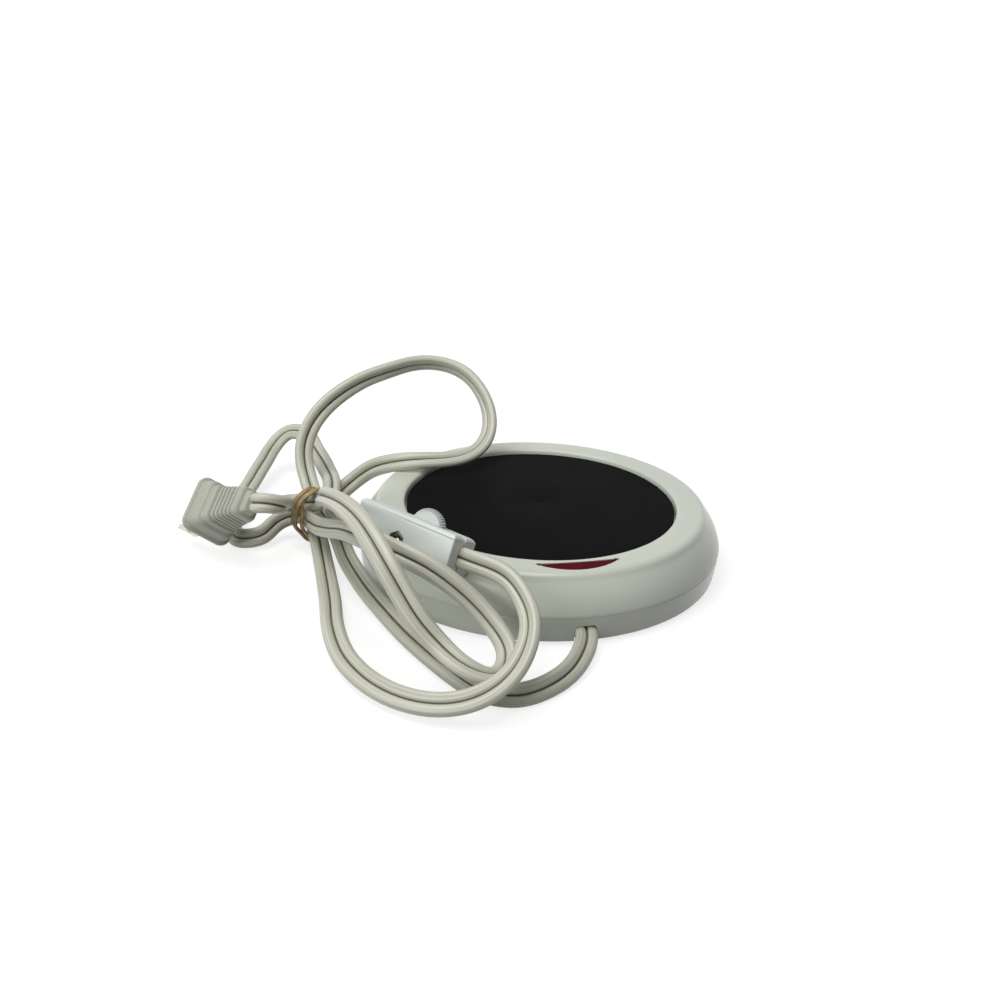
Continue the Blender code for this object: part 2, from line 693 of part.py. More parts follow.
shield = add("heat_shield", lathe_mesh([
    (0, shield_low_z), (bead_r - bead_half, shield_low_z), (bead_r - bead_half / 2, shield_low_z - bead_deep),
    (bead_r + bead_half / 2, shield_low_z - bead_deep), (bead_r + bead_half, shield_low_z),
    (shield_r, shield_low_z),
    (shield_r, shield_top_z), (bead_r + bead_half, shield_top_z),
    (bead_r + bead_half / 2, shield_top_z - bead_deep),
    (bead_r - bead_half / 2, shield_top_z - bead_deep), (bead_r - bead_half, shield_top_z),
    (0, shield_top_z)], hidden_steps), aluminium)
for side, sign in (("left", -1), ("right", 1)):
    clear = add(f"terminal_clear_{side}",
                lathe_mesh(rod_profile(terminal_r + terminal_clear, shield_low_z - overrun,
                mica_top_z + overrun), tiny_steps), None,
                place=(sign * terminal_x, -terminal_y, 0), home=cutters)
    for sheet in (mica_disc, pad, shield):
        change(sheet, clear)
    add(f"terminal_post_{side}", lathe_mesh(rod_profile(terminal_r, terminal_low_z, element_low_z - fit),
        tiny_steps), tinned,
        place=(sign * terminal_x, -terminal_y, 0))
for n, degrees in enumerate(shield_screw_angles):
    spot = polar(shield_boss_ring, degrees)
    hole = add(f"shield_hole_{n}",
               lathe_mesh(rod_profile(shield_shank_r + shank_fit, shield_low_z - overrun,
               shield_top_z + overrun / 4), tiny_steps), None,
               place=spot, home=cutters)
    change(shield, hole)
    head_top = shield_low_z - fit
    add(f"shield_screw_{n + 1}", lathe_mesh([
        (0, head_top - shield_head_h), (shield_head_r, head_top - shield_head_h), (shield_head_r, head_top),
        (shield_shank_r, head_top), (shield_shank_r, shield_top_z + shield_thread),
        (0, shield_top_z + shield_thread)], tiny_steps),
        steel, place=spot)

# Thermal fuse under the shield, held by a strap
fuse_z = shield_low_z - fit - fuse_r
fuse = add("thermal_fuse", lathe_mesh([
    (0, -fuse_len / 2 - fuse_tip), (fuse_r / 2, -fuse_len / 2 - fuse_tip), (fuse_r, -fuse_len / 2),
    (fuse_r, fuse_len / 2),
    (fuse_r / 2, fuse_len / 2 + fuse_tip), (0, fuse_len / 2 + fuse_tip)], tiny_steps), aluminium,
    place=(0, fuse_y, fuse_z), turn=(0, math.pi / 2, 0))
strap_in = fuse_r + fit
strap_out = strap_in + strap_thick
strap_top = shield_low_z - fit
strap_low = fuse_z - strap_out
strap_line = [(-strap_out - strap_foot, strap_top), (-strap_out - strap_foot, strap_top - strap_thick),
    (-strap_out, strap_top - strap_thick),
              (-strap_out, strap_low + strap_thick * 2), (-strap_out + strap_thick * 2, strap_low),
              (strap_out - strap_thick * 2, strap_low), (strap_out, strap_low + strap_thick * 2),
              (strap_out, strap_top - strap_thick), (strap_out + strap_foot, strap_top - strap_thick),
              (strap_out + strap_foot, strap_top),
              (strap_in, strap_top), (strap_in, strap_low + strap_thick * 5 / 2),
              (strap_in - strap_thick * 3 / 2, strap_low + strap_thick),
              (-strap_in + strap_thick * 3 / 2, strap_low + strap_thick),
              (-strap_in, strap_low + strap_thick * 5 / 2), (-strap_in, strap_top)]
add("fuse_strap", loft_mesh([[(x, fuse_y + y, z) for y, z in strap_line] for x in (-strap_half_x,
    strap_half_x)]), aluminium)

# Base cover with locating lip, screw columns, foot pockets, lamp posts, clamp posts and vents
base_cover = add("base_cover", lathe_mesh([
    (0, cover_bottom_z), (cover_r - cover_edge, cover_bottom_z), (cover_r, cover_bottom_z + cover_edge),
    (cover_r, cover_top_z),
    (lip_out_r, cover_top_z), (lip_out_r, lip_top_z), (lip_in_r, lip_top_z), (lip_in_r, cover_top_z),
    (0, cover_top_z)], round_steps),
    cover_white)
lip_cut = add("lip_cord_cut", box_mesh(notch_half, (lip_out_r - lip_in_r), cover_top_z - slot_half_w / 2,
    lip_top_z + overrun), None,
              place=(0, -lip_in_r, 0), home=cutters)
change(base_cover, lip_cut)
column_top_z = boss_foot_z - column_gap
for n, degrees in enumerate(screw_angles):
    column = add(f"column_{n}", lathe_mesh(rod_profile(column_r, cover_bottom_z + cover_edge,
        column_top_z), small_steps), None,
                 place=polar(boss_ring, degrees), home=cutters)
    change(base_cover, column, "UNION")
for side, sign in (("left", -1), ("right", 1)):
    post = add(f"lamp_post_{side}", box_mesh(post_half_x, post_half_y, cover_bottom_z + cover_edge,
        post_top_z), None,
               place=(sign * post_x, -lamp_y, 0), home=cutters)
    change(base_cover, post, "UNION")
clamp_low_z = cord_centre_z + cord_r + fit
clamp_post_top_z = clamp_low_z - fit
for side, sign in (("left", -1), ("right", 1)):
    post = add(f"clamp_post_{side}", lathe_mesh(rod_profile(clamp_post_r, cover_bottom_z + cover_edge,
        clamp_post_top_z), tiny_steps), None,
               place=(sign * clamp_post_x, -clamp_y, 0), home=cutters)
    change(base_cover, post, "UNION")
for n, degrees in enumerate(screw_angles):
    spot = polar(boss_ring, degrees)
    change(base_cover, add(f"column_recess_{n}", lathe_mesh(rod_profile(recess_r,
        cover_bottom_z - overrun, recess_top_z), small_steps),
                           None, place=spot, home=cutters))
    change(base_cover, add(f"column_hole_{n}", lathe_mesh(rod_profile(screw_shank_r + shank_fit,
        recess_top_z - overrun, column_top_z + overrun),
                                                          tiny_steps), None, place=spot, home=cutters))
    seat = recess_top_z - fit
    screw = add(f"housing_screw_{n + 1}", lathe_mesh([
        (0, seat - screw_head_h), (screw_head_r - lip_round, seat - screw_head_h),
        (screw_head_r, seat - screw_head_h + lip_round),
        (screw_head_r, seat), (screw_shank_r, seat), (screw_shank_r, screw_tip_z - screw_shank_r / 2),
        (screw_shank_r / 2, screw_tip_z), (0, screw_tip_z)], tiny_steps), steel, place=spot)
    for k, (half_x, half_y) in enumerate(((slot_half_l, slot_half_w), (slot_half_w, slot_half_l))):
        change(screw, add(f"screw_slot_{n}_{k}", box_mesh(half_x, half_y, seat - screw_head_h - overrun,
            seat - screw_head_h + slot_deep),
                          None, place=spot, home=cutters))
for n, degrees in enumerate(foot_angles):
    spot = polar(foot_ring, degrees)
    change(base_cover, add(f"foot_pocket_{n}", lathe_mesh(rod_profile(foot_r + fit,
        cover_bottom_z - overrun, foot_pocket_top_z), small_steps),
                           None, place=spot, home=cutters))
    add(f"rubber_foot_{n + 1}", lathe_mesh(rod_profile(foot_r, 0, foot_h, foot_edge), small_steps),
        rubber_foot, place=spot)
for n in range(vent_count):
    angle = math.tau * n / vent_count
    change(base_cover, add(f"vent_{n}", box_mesh(vent_half_l, vent_half_w, cover_bottom_z - overrun,
        cover_top_z + overrun, vent_half_w / 2),
                           None, place=(vent_ring * math.cos(angle), vent_ring * math.sin(angle), 0),
                           turn=(0, 0, angle), home=cutters))
for side, sign in (("left", -1), ("right", 1)):
    hole = add(f"clamp_hole_{side}", lathe_mesh(rod_profile(clamp_shank_r + shank_fit, clamp_hole_tip_z,
        clamp_post_top_z + overrun), tiny_steps),
               None, place=(sign * clamp_post_x, -clamp_y, 0), home=cutters)
    change(base_cover, hole)

# Cord clamp bar and its two screws
clamp_bar = add("cord_clamp_bar", box_mesh(clamp_bar_half_x, clamp_bar_half_y, clamp_low_z,
    clamp_low_z + clamp_bar_thick, clamp_bar_edge),
                cover_white, place=(0, -clamp_y, 0))
for side, sign in (("left", -1), ("right", 1)):
    spot = (sign * clamp_post_x, -clamp_y, 0)
    change(clamp_bar, add(f"clamp_bar_hole_{side}", lathe_mesh(rod_profile(clamp_shank_r + shank_fit,
        clamp_low_z - overrun,
                                                                           clamp_low_z + clamp_bar_thick + overrun), tiny_steps),
                          None, place=spot, home=cutters))
    head_low = clamp_low_z + clamp_bar_thick + fit
    add(f"clamp_screw_{side}", lathe_mesh([
        (0, clamp_screw_tip_z), (clamp_shank_r, clamp_screw_tip_z), (clamp_shank_r, head_low),
        (clamp_head_r, head_low),
        (clamp_head_r, head_low + clamp_head_h / 2), (clamp_head_r / 2, head_low + clamp_head_h),
        (0, head_low + clamp_head_h)], tiny_steps),
        steel, place=spot)

# Neon lamp on its posts, and its resistor on the cover
lamp_z = post_top_z + fit + lamp_r
add("neon_lamp", lathe_mesh([
    (0, -lamp_len / 2), (lamp_r / 2, -lamp_len / 2 + lamp_tip / 4), (lamp_r, -lamp_len / 2 + lamp_tip),
    (lamp_r, lamp_len / 2 - lamp_tip),
    (lamp_r / 2, lamp_len / 2 - lamp_tip / 4), (0, lamp_len / 2)], tiny_steps), glass,
    place=(0, -lamp_y, lamp_z), turn=(0, math.pi / 2, 0))
add("lamp_resistor", lathe_mesh([
    (0, -resistor_len / 2), (resistor_r, -resistor_len / 2), (resistor_r, -resistor_len / 4),
    (resistor_waist_r, -resistor_len / 6),
    (resistor_waist_r, resistor_len / 6), (resistor_r, resistor_len / 4), (resistor_r, resistor_len / 2),
    (0, resistor_len / 2)], tiny_steps),
    resistor_tan, place=(resistor_x, -resistor_y, cover_top_z + fit + resistor_r), turn=(0, math.pi / 2, 0))

# The mains cord in two runs, and the two inner leads
cord_lines = {}
for name, route in (("cord_warmer_side", route_warmer_mm), ("cord_plug_side", route_plug_mm)):
    points, length = smooth_route(np.array(route) * mm, cord_points)
    cord_lines[name] = points
    tube(name, points, cord_r, cord_beige)
    print(f"{name}: length {length:.3f} m, least gap to itself {least_gap(points, points, cord_r * 2, 18) / mm:.2f} mm")
gap = least_gap(cord_lines["cord_warmer_side"], cord_lines["cord_plug_side"], cord_r * 2)
print(f"cord runs: least gap between them {gap / mm:.2f} mm")

for side, sign in (("left", -1), ("right", 1)):
    start = Vector((sign * lead_start_x, lead_in - crease_r, cord_centre_z))
    crimp_top = terminal_low_z - fit
    crimp_low = crimp_top - crimp_len
    goal = Vector((sign * terminal_x, -terminal_y, crimp_low - fit))
    way = [start + (goal - start) * share for share in lead_shares]
    way[1] = start + Vector((0, lead_r * 2, 0))
    way[3].z = start.z
    way[4] = goal - Vector((0, 0, lead_r * 2)) - (goal - start).normalized() * lead_r
    way[4].z = max(way[4].z, cover_top_z + lead_r * 2)
    points, _ = smooth_route([tuple(p) for p in way + [goal - Vector((0, 0, lead_r)), goal]], lead_points)
    tube(f"lead_{side}", points, lead_r, lead_white, sides=1)
    add(f"crimp_{side}", lathe_mesh(rod_profile(crimp_r, crimp_low, crimp_top, lip_round), tiny_steps),
        tinned,
        place=(sign * terminal_x, -terminal_y, 0))

# In-line switch
switch_frame = bpy.data.objects.new("switch_frame", None)
parts.objects.link(switch_frame)
switch_frame.location = switch_place
switch_frame.rotation_euler = (switch_lean, 0, switch_yaw)
quarter = [(switch_half_l, switch_end_half - switch_corner), (switch_half_l - switch_corner, switch_end_half),
           (switch_mid_turn, switch_mid_half - switch_corner / 4), (switch_mid_flat, switch_mid_half)]
top = [(switch_half_l, switch_top_right - switch_corner), (switch_half_l - switch_corner, switch_top_right),
       (-(switch_half_l - switch_corner), switch_top_left), (-switch_half_l, switch_top_left - switch_corner)]
switch_line = top + [(-x, -z) for x, z in quarter] + [(x, -z) for x, z in reversed(quarter)]
switch_pocket = inset(switch_line, switch_wall)
switch_face = inset(switch_line, switch_edge)


def along_y(outline, levels):
    """Loft outlines (x, z) at given depths y."""
    return loft_mesh([[(x, y, z) for x, z in line] for line, y in zip(outline, levels)])


def y_rod(name, radius, low, high, x, z, steps=tiny_steps, mat=None, home=cutters):
    """A rod along the switch's Y between two depths."""
    return add(name, lathe_mesh(rod_profile(radius, -high, -low), steps), mat, parent=switch_frame,
        place=(x, 0, z),
               turn=(math.pi / 2, 0, 0), home=home)


face = switch_half_t - switch_wall
shells = {}
for name, sign in (("switch_front_shell", -1), ("switch_back_shell", 1)):
    shell = add(name, along_y((switch_line, switch_line, switch_face),
                              (sign * switch_part_gap, sign * (switch_half_t - switch_edge),
                              sign * switch_half_t)), switch_pale, parent=switch_frame)
    shells[sign] = shell
    hollow = add(name + "_hollow", along_y((switch_pocket, switch_pocket),
        (-sign * overrun, sign * face)), None, parent=switch_frame, home=cutters)
    change(shell, hollow)
    reach = sorted((sign * socket_face, sign * (face + switch_wall / 2)))
    change(shell, y_rod(name + "_socket", socket_r, *reach, wheel_x, wheel_z, small_steps), "UNION")
    reach = sorted((sign * nut_boss_face, sign * (face + switch_wall / 2)))
    change(shell, y_rod(name + "_nut_boss", nut_boss_r, *reach, nut_x, nut_z, small_steps), "UNION")
    reach = sorted((sign * (socket_face - overrun), sign * (axle_half + fit)))
    change(shell, y_rod(name + "_axle_hole", axle_r + fit, *reach, wheel_x, wheel_z))
    reach = sorted((sign * (nut_boss_face - overrun), sign * (switch_half_t + overrun)))
    change(shell, y_rod(name + "_shank_hole", nut_bore_r, *reach, nut_x, nut_z))
    cord_way = add(name + "_cord_way", lathe_mesh(rod_profile(cord_bore_r, -switch_half_l - overrun,
        -cord_bore_in), small_steps), None,
                   parent=switch_frame, turn=(0, math.pi / 2, 0), home=cutters)
    change(shell, cord_way)
    cord_way = add(name + "_cord_way_2", lathe_mesh(rod_profile(cord_bore_r, cord_bore_in,
        switch_half_l + overrun), small_steps), None,
                   parent=switch_frame, turn=(0, math.pi / 2, 0), home=cutters)
    change(shell, cord_way)
    change(shell, y_rod(name + "_wheel_slot", slot_r, -slot_half_y, slot_half_y, wheel_x, wheel_z,
        wheel_teeth))
pocket_low = -(switch_half_t + overrun)
nut_pocket = add("nut_pocket", lathe_mesh(rod_profile(nut_pocket_r, switch_half_t - nut_pocket_deep,
    switch_half_t + overrun), 6), None,
                 parent=switch_frame, place=(nut_x, 0, nut_z), turn=(math.pi / 2, 0, 0), home=cutters)
change(shells[-1], nut_pocket)
change(shells[1], y_rod("head_pocket", head_pocket_r, switch_half_t - head_pocket_deep,
    switch_half_t + overrun, nut_x, nut_z, small_steps))
nut_top = switch_half_t - nut_sunk
nut_bm = lathe_mesh([(nut_bore_r, nut_top - nut_thick), (nut_flat, nut_top - nut_thick),
    (nut_flat, nut_top), (nut_bore_r, nut_top)], small_steps)
for vert in nut_bm.verts:
    if math.hypot(vert.co.x, vert.co.y) > (nut_flat + nut_bore_r) / 2:
        lean = math.atan2(vert.co.y, vert.co.x) % (math.pi / 3) - math.pi / 6
        vert.co.x /= math.cos(lean)
        vert.co.y /= math.cos(lean)
add("switch_nut", nut_bm, dark_metal, parent=switch_frame, place=(nut_x, 0, nut_z), turn=(math.pi / 2, 0, 0))
head_seat = switch_half_t - head_pocket_deep + fit
add("switch_screw", lathe_mesh([
    (0, -(head_seat + head_h)), (head_r - lip_round, -(head_seat + head_h)),
    (head_r, -(head_seat + head_h / 2)), (head_r, -head_seat),
    (switch_shank_r, -head_seat), (switch_shank_r, switch_shank_end), (0, switch_shank_end)], tiny_steps),
    dark_metal,
    parent=switch_frame, place=(nut_x, 0, nut_z), turn=(math.pi / 2, 0, 0))
tooth_shares = (1, 1, (wheel_r - wheel_groove) / wheel_r, (wheel_r - wheel_groove) / wheel_r)
wheel_bm = lathe_mesh([
    (0, -axle_half), (axle_r, -axle_half), (axle_r, -wheel_half_t),
    (wheel_r - wheel_chamfer - wheel_groove, -wheel_half_t),
    (wheel_r, -wheel_half_t + wheel_chamfer), (wheel_r, wheel_half_t - wheel_chamfer),
    (wheel_r - wheel_chamfer - wheel_groove, wheel_half_t), (axle_r, wheel_half_t), (axle_r, axle_half),
    (0, axle_half)], wheel_teeth * 2)
for vert in wheel_bm.verts:
    reach = math.hypot(vert.co.x, vert.co.y)
    step = round(math.atan2(vert.co.y, vert.co.x) / math.tau * wheel_teeth * 2) % 2
    if reach > wheel_r - wheel_groove and step:
        vert.co.x *= tooth_shares[2]
        vert.co.y *= tooth_shares[2]
add("switch_thumbwheel", wheel_bm, wheel_pale, parent=switch_frame, place=(wheel_x, 0, wheel_z),
    turn=(math.pi / 2, 0, 0))
contact_out = face - fit
for name, x, length in (("switch_contact_in", contact_left_x, contact_len),
    ("switch_contact_out", contact_right_x, contact_right_len)):
    low_y = contact_out - contact_thick
    line = [(x, contact_out), (x, low_y - contact_foot), (x + contact_thick, low_y - contact_foot),
        (x + contact_thick, low_y),
            (x + length, low_y), (x + length, contact_out)]
    add(name, loft_mesh([[(px, py, z) for px, py in line] for z in (-contact_half_z, contact_half_z)]),
        brass, parent=switch_frame)

# Plug with its two blades
plug_z = Vector(plug_axis).normalized()
plug_x = (Vector(plug_side) - plug_z * Vector(plug_side).dot(plug_z)).normalized()
plug_y = plug_z.cross(plug_x)
plug_frame = bpy.data.objects.new("plug_frame", None)
parts.objects.link(plug_frame)
plug_frame.location = plug_place
plug_frame.rotation_euler = Matrix((plug_x, plug_y, plug_z)).transposed().to_euler()


def soft_box(half_x, half_y, corner, z, steps=3):
    """Rounded rectangle at height z."""
    loop = []
    for sx, sy, start in ((1, 1, 0), (-1, 1, 1), (-1, -1, 2), (1, -1, 3)):
        for k in range(steps + 1):
            angle = math.pi / 2 * (start + k / steps)
            loop.append((sx * (half_x - corner) + corner * math.cos(angle),
                sy * (half_y - corner) + corner * math.sin(angle), z))
    return loop


flange_round = flange_corner / 5
levels = [
    soft_box(flange_half_x - flange_round, flange_half_y - flange_round, flange_corner - flange_round,
    -flange_half_z),
    soft_box(flange_half_x, flange_half_y, flange_corner, -flange_half_z + flange_round),
    soft_box(flange_half_x, flange_half_y, flange_corner, flange_half_z - flange_round),
    soft_box(flange_half_x - flange_round, flange_half_y - flange_round, flange_corner - flange_round,
    flange_half_z),
    soft_box(shoulder_half_x, shoulder_half_y, flange_corner * 3 / 4, shoulder_z),
    soft_box(shoulder_half_x, shoulder_half_y, flange_corner * 3 / 4, shoulder_end_z),
    soft_box(grip_half_x, grip_half_y, flange_corner * 3 / 4, grip_start_z)]
for n in range(rib_count):
    low = rib_start_z + rib_pitch * n
    share = n / (rib_count - 1)
    half_x = grip_half_x + (grip_tip_half_x - grip_half_x) * share
    half_y = grip_half_y + (grip_tip_half_y - grip_half_y) * share
    levels.append(soft_box(half_x - rib_deep, half_y - rib_deep, flange_corner * 3 / 4, low))
    levels.append(soft_box(half_x - rib_deep, half_y - rib_deep, flange_corner * 3 / 4, low + rib_pitch / 3))
    levels.append(soft_box(half_x, half_y, flange_corner * 3 / 4, low + rib_pitch / 2))
    levels.append(soft_box(half_x, half_y, flange_corner * 3 / 4, low + rib_pitch * 5 / 6))
levels.append(soft_box(grip_tip_half_x, grip_tip_half_y, flange_corner * 3 / 4, grip_end_z - flange_round))
levels.append(soft_box(grip_tip_half_x - flange_round, grip_tip_half_y - flange_round, flange_corner / 2,
    grip_end_z))
plug_body = add("plug_body", loft_mesh(levels), plug_grey, parent=plug_frame)
bore = add("plug_bore", lathe_mesh([(0, plug_bore_z), (plug_bore_r, plug_bore_z),
    (plug_bore_r, grip_end_z - plug_mouth_r),
                                    (plug_mouth_r, grip_end_z), (plug_mouth_r, grip_end_z + overrun),
                                    (0, grip_end_z + overrun)], small_steps),
           None, parent=plug_frame, home=cutters)
change(plug_body, bore)
for name, x, half_w in (("plug_blade_wide", blade_x, blade_half_wide),
    ("plug_blade_narrow", -blade_x, blade_half_narrow)):
    root_z = -flange_half_z + blade_root
    tip_z = -flange_half_z - blade_len
    pocket = add(name + "_pocket", box_mesh(blade_half_t + fit, half_w + fit, -flange_half_z - overrun,
        root_z + fit), None,
                 parent=plug_frame, place=(x, 0, 0), home=cutters)
    change(plug_body, pocket)
    line = [(half_w, root_z), (-half_w, root_z), (-half_w, tip_z + blade_chamfer),
        (-half_w + blade_chamfer, tip_z),
            (half_w - blade_chamfer, tip_z), (half_w, tip_z + blade_chamfer)]
    blade = add(name, loft_mesh([[(dx, y, z) for y, z in line] for dx in (-blade_half_t, blade_half_t)]),
        brass, parent=plug_frame, place=(x, 0, 0))
    hole = add(name + "_hole", lathe_mesh(rod_profile(blade_hole_r, -blade_half_t - overrun,
        blade_half_t + overrun), tiny_steps), None,
               parent=plug_frame, place=(x, 0, -flange_half_z - blade_hole_z), turn=(0, math.pi / 2, 0),
               home=cutters)
    change(blade, hole)

# Rubber band, wound round the bundle as one unbroken tube
normal, along, middle = Vector(band_normal), Vector(band_along), Vector(band_place)
band_count = len(band_outline_mm)
band_line = []
for i in range(band_turns * band_count + 1):
    s, z = band_outline_mm[i % band_count]
    shift = band_pitch * (i / band_count - band_turns / 2)
    band_line.append(tuple(middle + along * (s * mm) + Vector((0, 0, z * mm)) + normal * shift))
tube("rubber_band", band_line, band_r, band_tan, sides=1)
print(f"rubber_band: least gap to itself {least_gap(band_line, band_line, band_r * 2, 40) / mm:.2f} mm")
for name, points in cord_lines.items():
    print(f"rubber_band to {name}: {least_gap(band_line, points, band_r + cord_r) / mm:.2f} mm")
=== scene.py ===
"""Candle warmer plate with its tied mains lead: dressed model, studio table, soft lights and camera."""
import math

import bmesh
import bpy
import numpy as np
from mathutils import Euler, Matrix, Vector


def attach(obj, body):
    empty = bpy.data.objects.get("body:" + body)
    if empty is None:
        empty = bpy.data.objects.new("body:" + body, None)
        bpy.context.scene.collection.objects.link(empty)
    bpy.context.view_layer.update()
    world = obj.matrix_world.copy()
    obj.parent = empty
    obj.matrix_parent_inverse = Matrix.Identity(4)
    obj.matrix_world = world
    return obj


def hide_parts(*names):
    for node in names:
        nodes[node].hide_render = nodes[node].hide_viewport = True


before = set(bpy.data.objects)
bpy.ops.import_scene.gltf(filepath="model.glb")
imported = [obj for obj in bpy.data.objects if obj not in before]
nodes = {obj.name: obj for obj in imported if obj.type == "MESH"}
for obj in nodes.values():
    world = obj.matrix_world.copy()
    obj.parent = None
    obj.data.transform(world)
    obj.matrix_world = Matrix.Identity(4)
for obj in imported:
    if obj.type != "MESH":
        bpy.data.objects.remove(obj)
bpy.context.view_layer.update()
mm = 0.001

# Camera at the photograph's viewing angle
sight_dir = Vector((-0.22257, -0.86684, 0.44604))
camera_distance = 0.4
across = Vector((0.96858, -0.24869, 0.0))
upward = sight_dir.cross(across)
roll = math.radians(2.83)
cam_data = bpy.data.cameras.new("studio_camera")
cam_data.sensor_width = 36
cam_data.lens = 36.176
cam_data.shift_x = -0.0383
cam_data.shift_y = 0.0533
camera = bpy.data.objects.new("studio_camera", cam_data)
bpy.context.collection.objects.link(camera)
cam_x = across * math.cos(roll) + upward * math.sin(roll)
cam_y = upward * math.cos(roll) - across * math.sin(roll)
turn = Matrix((cam_x, cam_y, sight_dir)).transposed().to_4x4()
camera.matrix_world = Matrix.Translation(sight_dir * camera_distance) @ turn
bpy.context.scene.camera = camera

# Route points of the two cord runs, as in the CAD source
warmer_route = (
    (0.0, -60.5, 5.2), (-0.3, -71.4, 5.0), (-4.6, -81.3, 4.0), (-11.2, -90.0, 3.5), (-19.8, -96.7, 3.5),
    (-30.2, -99.8, 3.5), (-39.9, -95.4, 3.5), (-46.2, -86.5, 3.5), (-51.1, -76.7, 3.5),
    (-55.6, -66.7, 3.5), (-59.7, -56.6, 3.6), (-63.4, -46.3, 3.9), (-66.9, -35.9, 4.2),
    (-70.1, -25.5, 4.6), (-72.9, -14.9, 5.2), (-75.2, -4.3, 5.9), (-76.7, 6.5, 7.1), (-79.1, 17.0, 8.9),
    (-83.5, 26.7, 11.1), (-85.5, 37.3, 13.1), (-87.2, 47.2, 17.1), (-88.2, 53.5, 25.9),
    (-85.1, 58.1, 35.2), (-78.5, 63.1, 42.3), (-70.0, 67.3, 47.7), (-60.5, 70.7, 51.8),
    (-50.2, 73.4, 54.5), (-39.8, 76.4, 56.2), (-29.0, 76.4, 56.0), (-19.6, 71.7, 53.5),
    (-14.0, 63.6, 48.9), (-11.1, 55.5, 42.3), (-12.0, 47.5, 34.9), (-17.8, 40.1, 29.8),
    (-27.3, 35.1, 28.1), (-38.1, 33.9, 28.2), (-48.8, 35.5, 27.5), (-56.9, 41.8, 23.9),
    (-62.9, 49.1, 18.5), (-70.4, 52.3, 11.5), (-78.4, 47.5, 6.6), (-83.8, 38.1, 5.9), (-86.0, 27.5, 6.0),
    (-85.2, 16.6, 6.2), (-84.4, 5.7, 5.8), (-83.8, -5.2, 5.2), (-83.3, -16.1, 4.8), (-82.9, -27.0, 4.6),
    (-82.7, -38.0, 4.5), (-82.8, -48.9, 4.5), (-82.1, -59.8, 4.5), (-80.3, -70.6, 4.5),
    (-76.7, -80.9, 4.5), (-71.2, -90.4, 4.5), (-63.7, -98.3, 4.7), (-54.6, -104.2, 5.9),
    (-44.7, -107.3, 8.9), (-35.1, -106.1, 13.8), (-28.2, -99.4, 18.7), (-24.7, -90.1, 23.1),
    (-25.1, -79.7, 26.3), (-28.7, -69.7, 28.8), (-35.8, -61.5, 29.3), (-43.4, -53.6, 29.3),
)
plug_route = (
    (-66.2, -29.6, 29.3), (-73.0, -22.4, 30.1), (-78.0, -13.8, 30.4), (-79.3, -4.1, 26.3),
    (-78.4, 4.3, 20.2), (-76.0, 12.1, 15.9), (-74.6, 20.5, 12.7), (-77.5, 29.8, 10.4),
    (-78.5, 39.5, 11.7), (-77.7, 49.0, 14.2), (-78.8, 58.9, 15.1), (-80.7, 68.7, 16.3),
    (-82.8, 78.4, 17.1), (-84.6, 88.1, 18.0), (-87.4, 97.5, 18.5), (-94.4, 103.1, 17.4),
    (-101.1, 99.4, 12.7), (-104.9, 90.1, 10.0), (-108.1, 80.7, 8.2), (-111.0, 71.2, 6.7),
    (-113.9, 61.7, 5.5), (-115.5, 51.9, 4.8), (-116.1, 42.0, 4.3), (-117.0, 32.4, 3.7),
    (-114.7, 22.4, 3.7), (-106.7, 21.1, 4.8), (-99.9, 28.4, 7.1), (-91.9, 28.1, 9.7), (-88.2, 19.2, 11.5),
    (-86.2, 9.9, 13.8), (-84.5, 0.7, 16.9), (-82.7, -8.4, 20.5), (-80.7, -17.5, 24.2),
    (-78.6, -26.5, 28.1), (-75.9, -35.5, 31.4), (-71.9, -44.5, 33.4), (-67.5, -53.4, 34.9),
    (-61.8, -61.5, 35.2), (-53.8, -66.7, 32.6), (-46.0, -70.6, 27.8), (-39.0, -74.8, 22.0),
    (-33.5, -80.8, 16.3), (-31.2, -89.1, 11.6), (-36.2, -96.9, 9.3), (-45.4, -95.8, 12.5),
    (-52.1, -89.1, 16.6), (-57.9, -84.3, 23.1), (-62.4, -78.8, 30.3), (-66.5, -72.7, 37.3),
    (-69.8, -64.3, 41.6), (-72.6, -54.9, 43.4), (-75.0, -45.3, 42.9), (-77.2, -35.9, 41.3),
    (-79.2, -26.6, 38.9), (-81.2, -17.5, 36.2), (-82.9, -8.3, 32.8), (-82.8, 1.5, 27.7),
    (-82.4, 11.1, 22.8), (-84.4, 20.1, 18.2), (-93.1, 22.8, 17.1), (-98.2, 18.9, 18.8),
    (-98.3, 12.6, 21.2), (-96.4, 6.7, 23.5), (-97.7, 0.9, 26.2), (-103.1, -1.6, 28.3),
    (-108.3, 0.4, 27.6), (-111.4, 4.5, 25.3),
)

# Fine points per route span, the run over which the cord's twist evens out, and the hold of its pinned ends
points_per_span = 6
twist_ease = 7 * mm
pin_weight = 5.0

# Outside the tie the cord is wider by this share, reached over this many route points
free_swell_share = 0.065
swell_points = 2.5

# Section of the flat cord: two round cores on a thin web, with the points and the half angle of each core
core_r, core_half, web_half = 1.75 * mm, 1.9 * mm, 0.5 * mm
core_points = 15
core_arc = 153

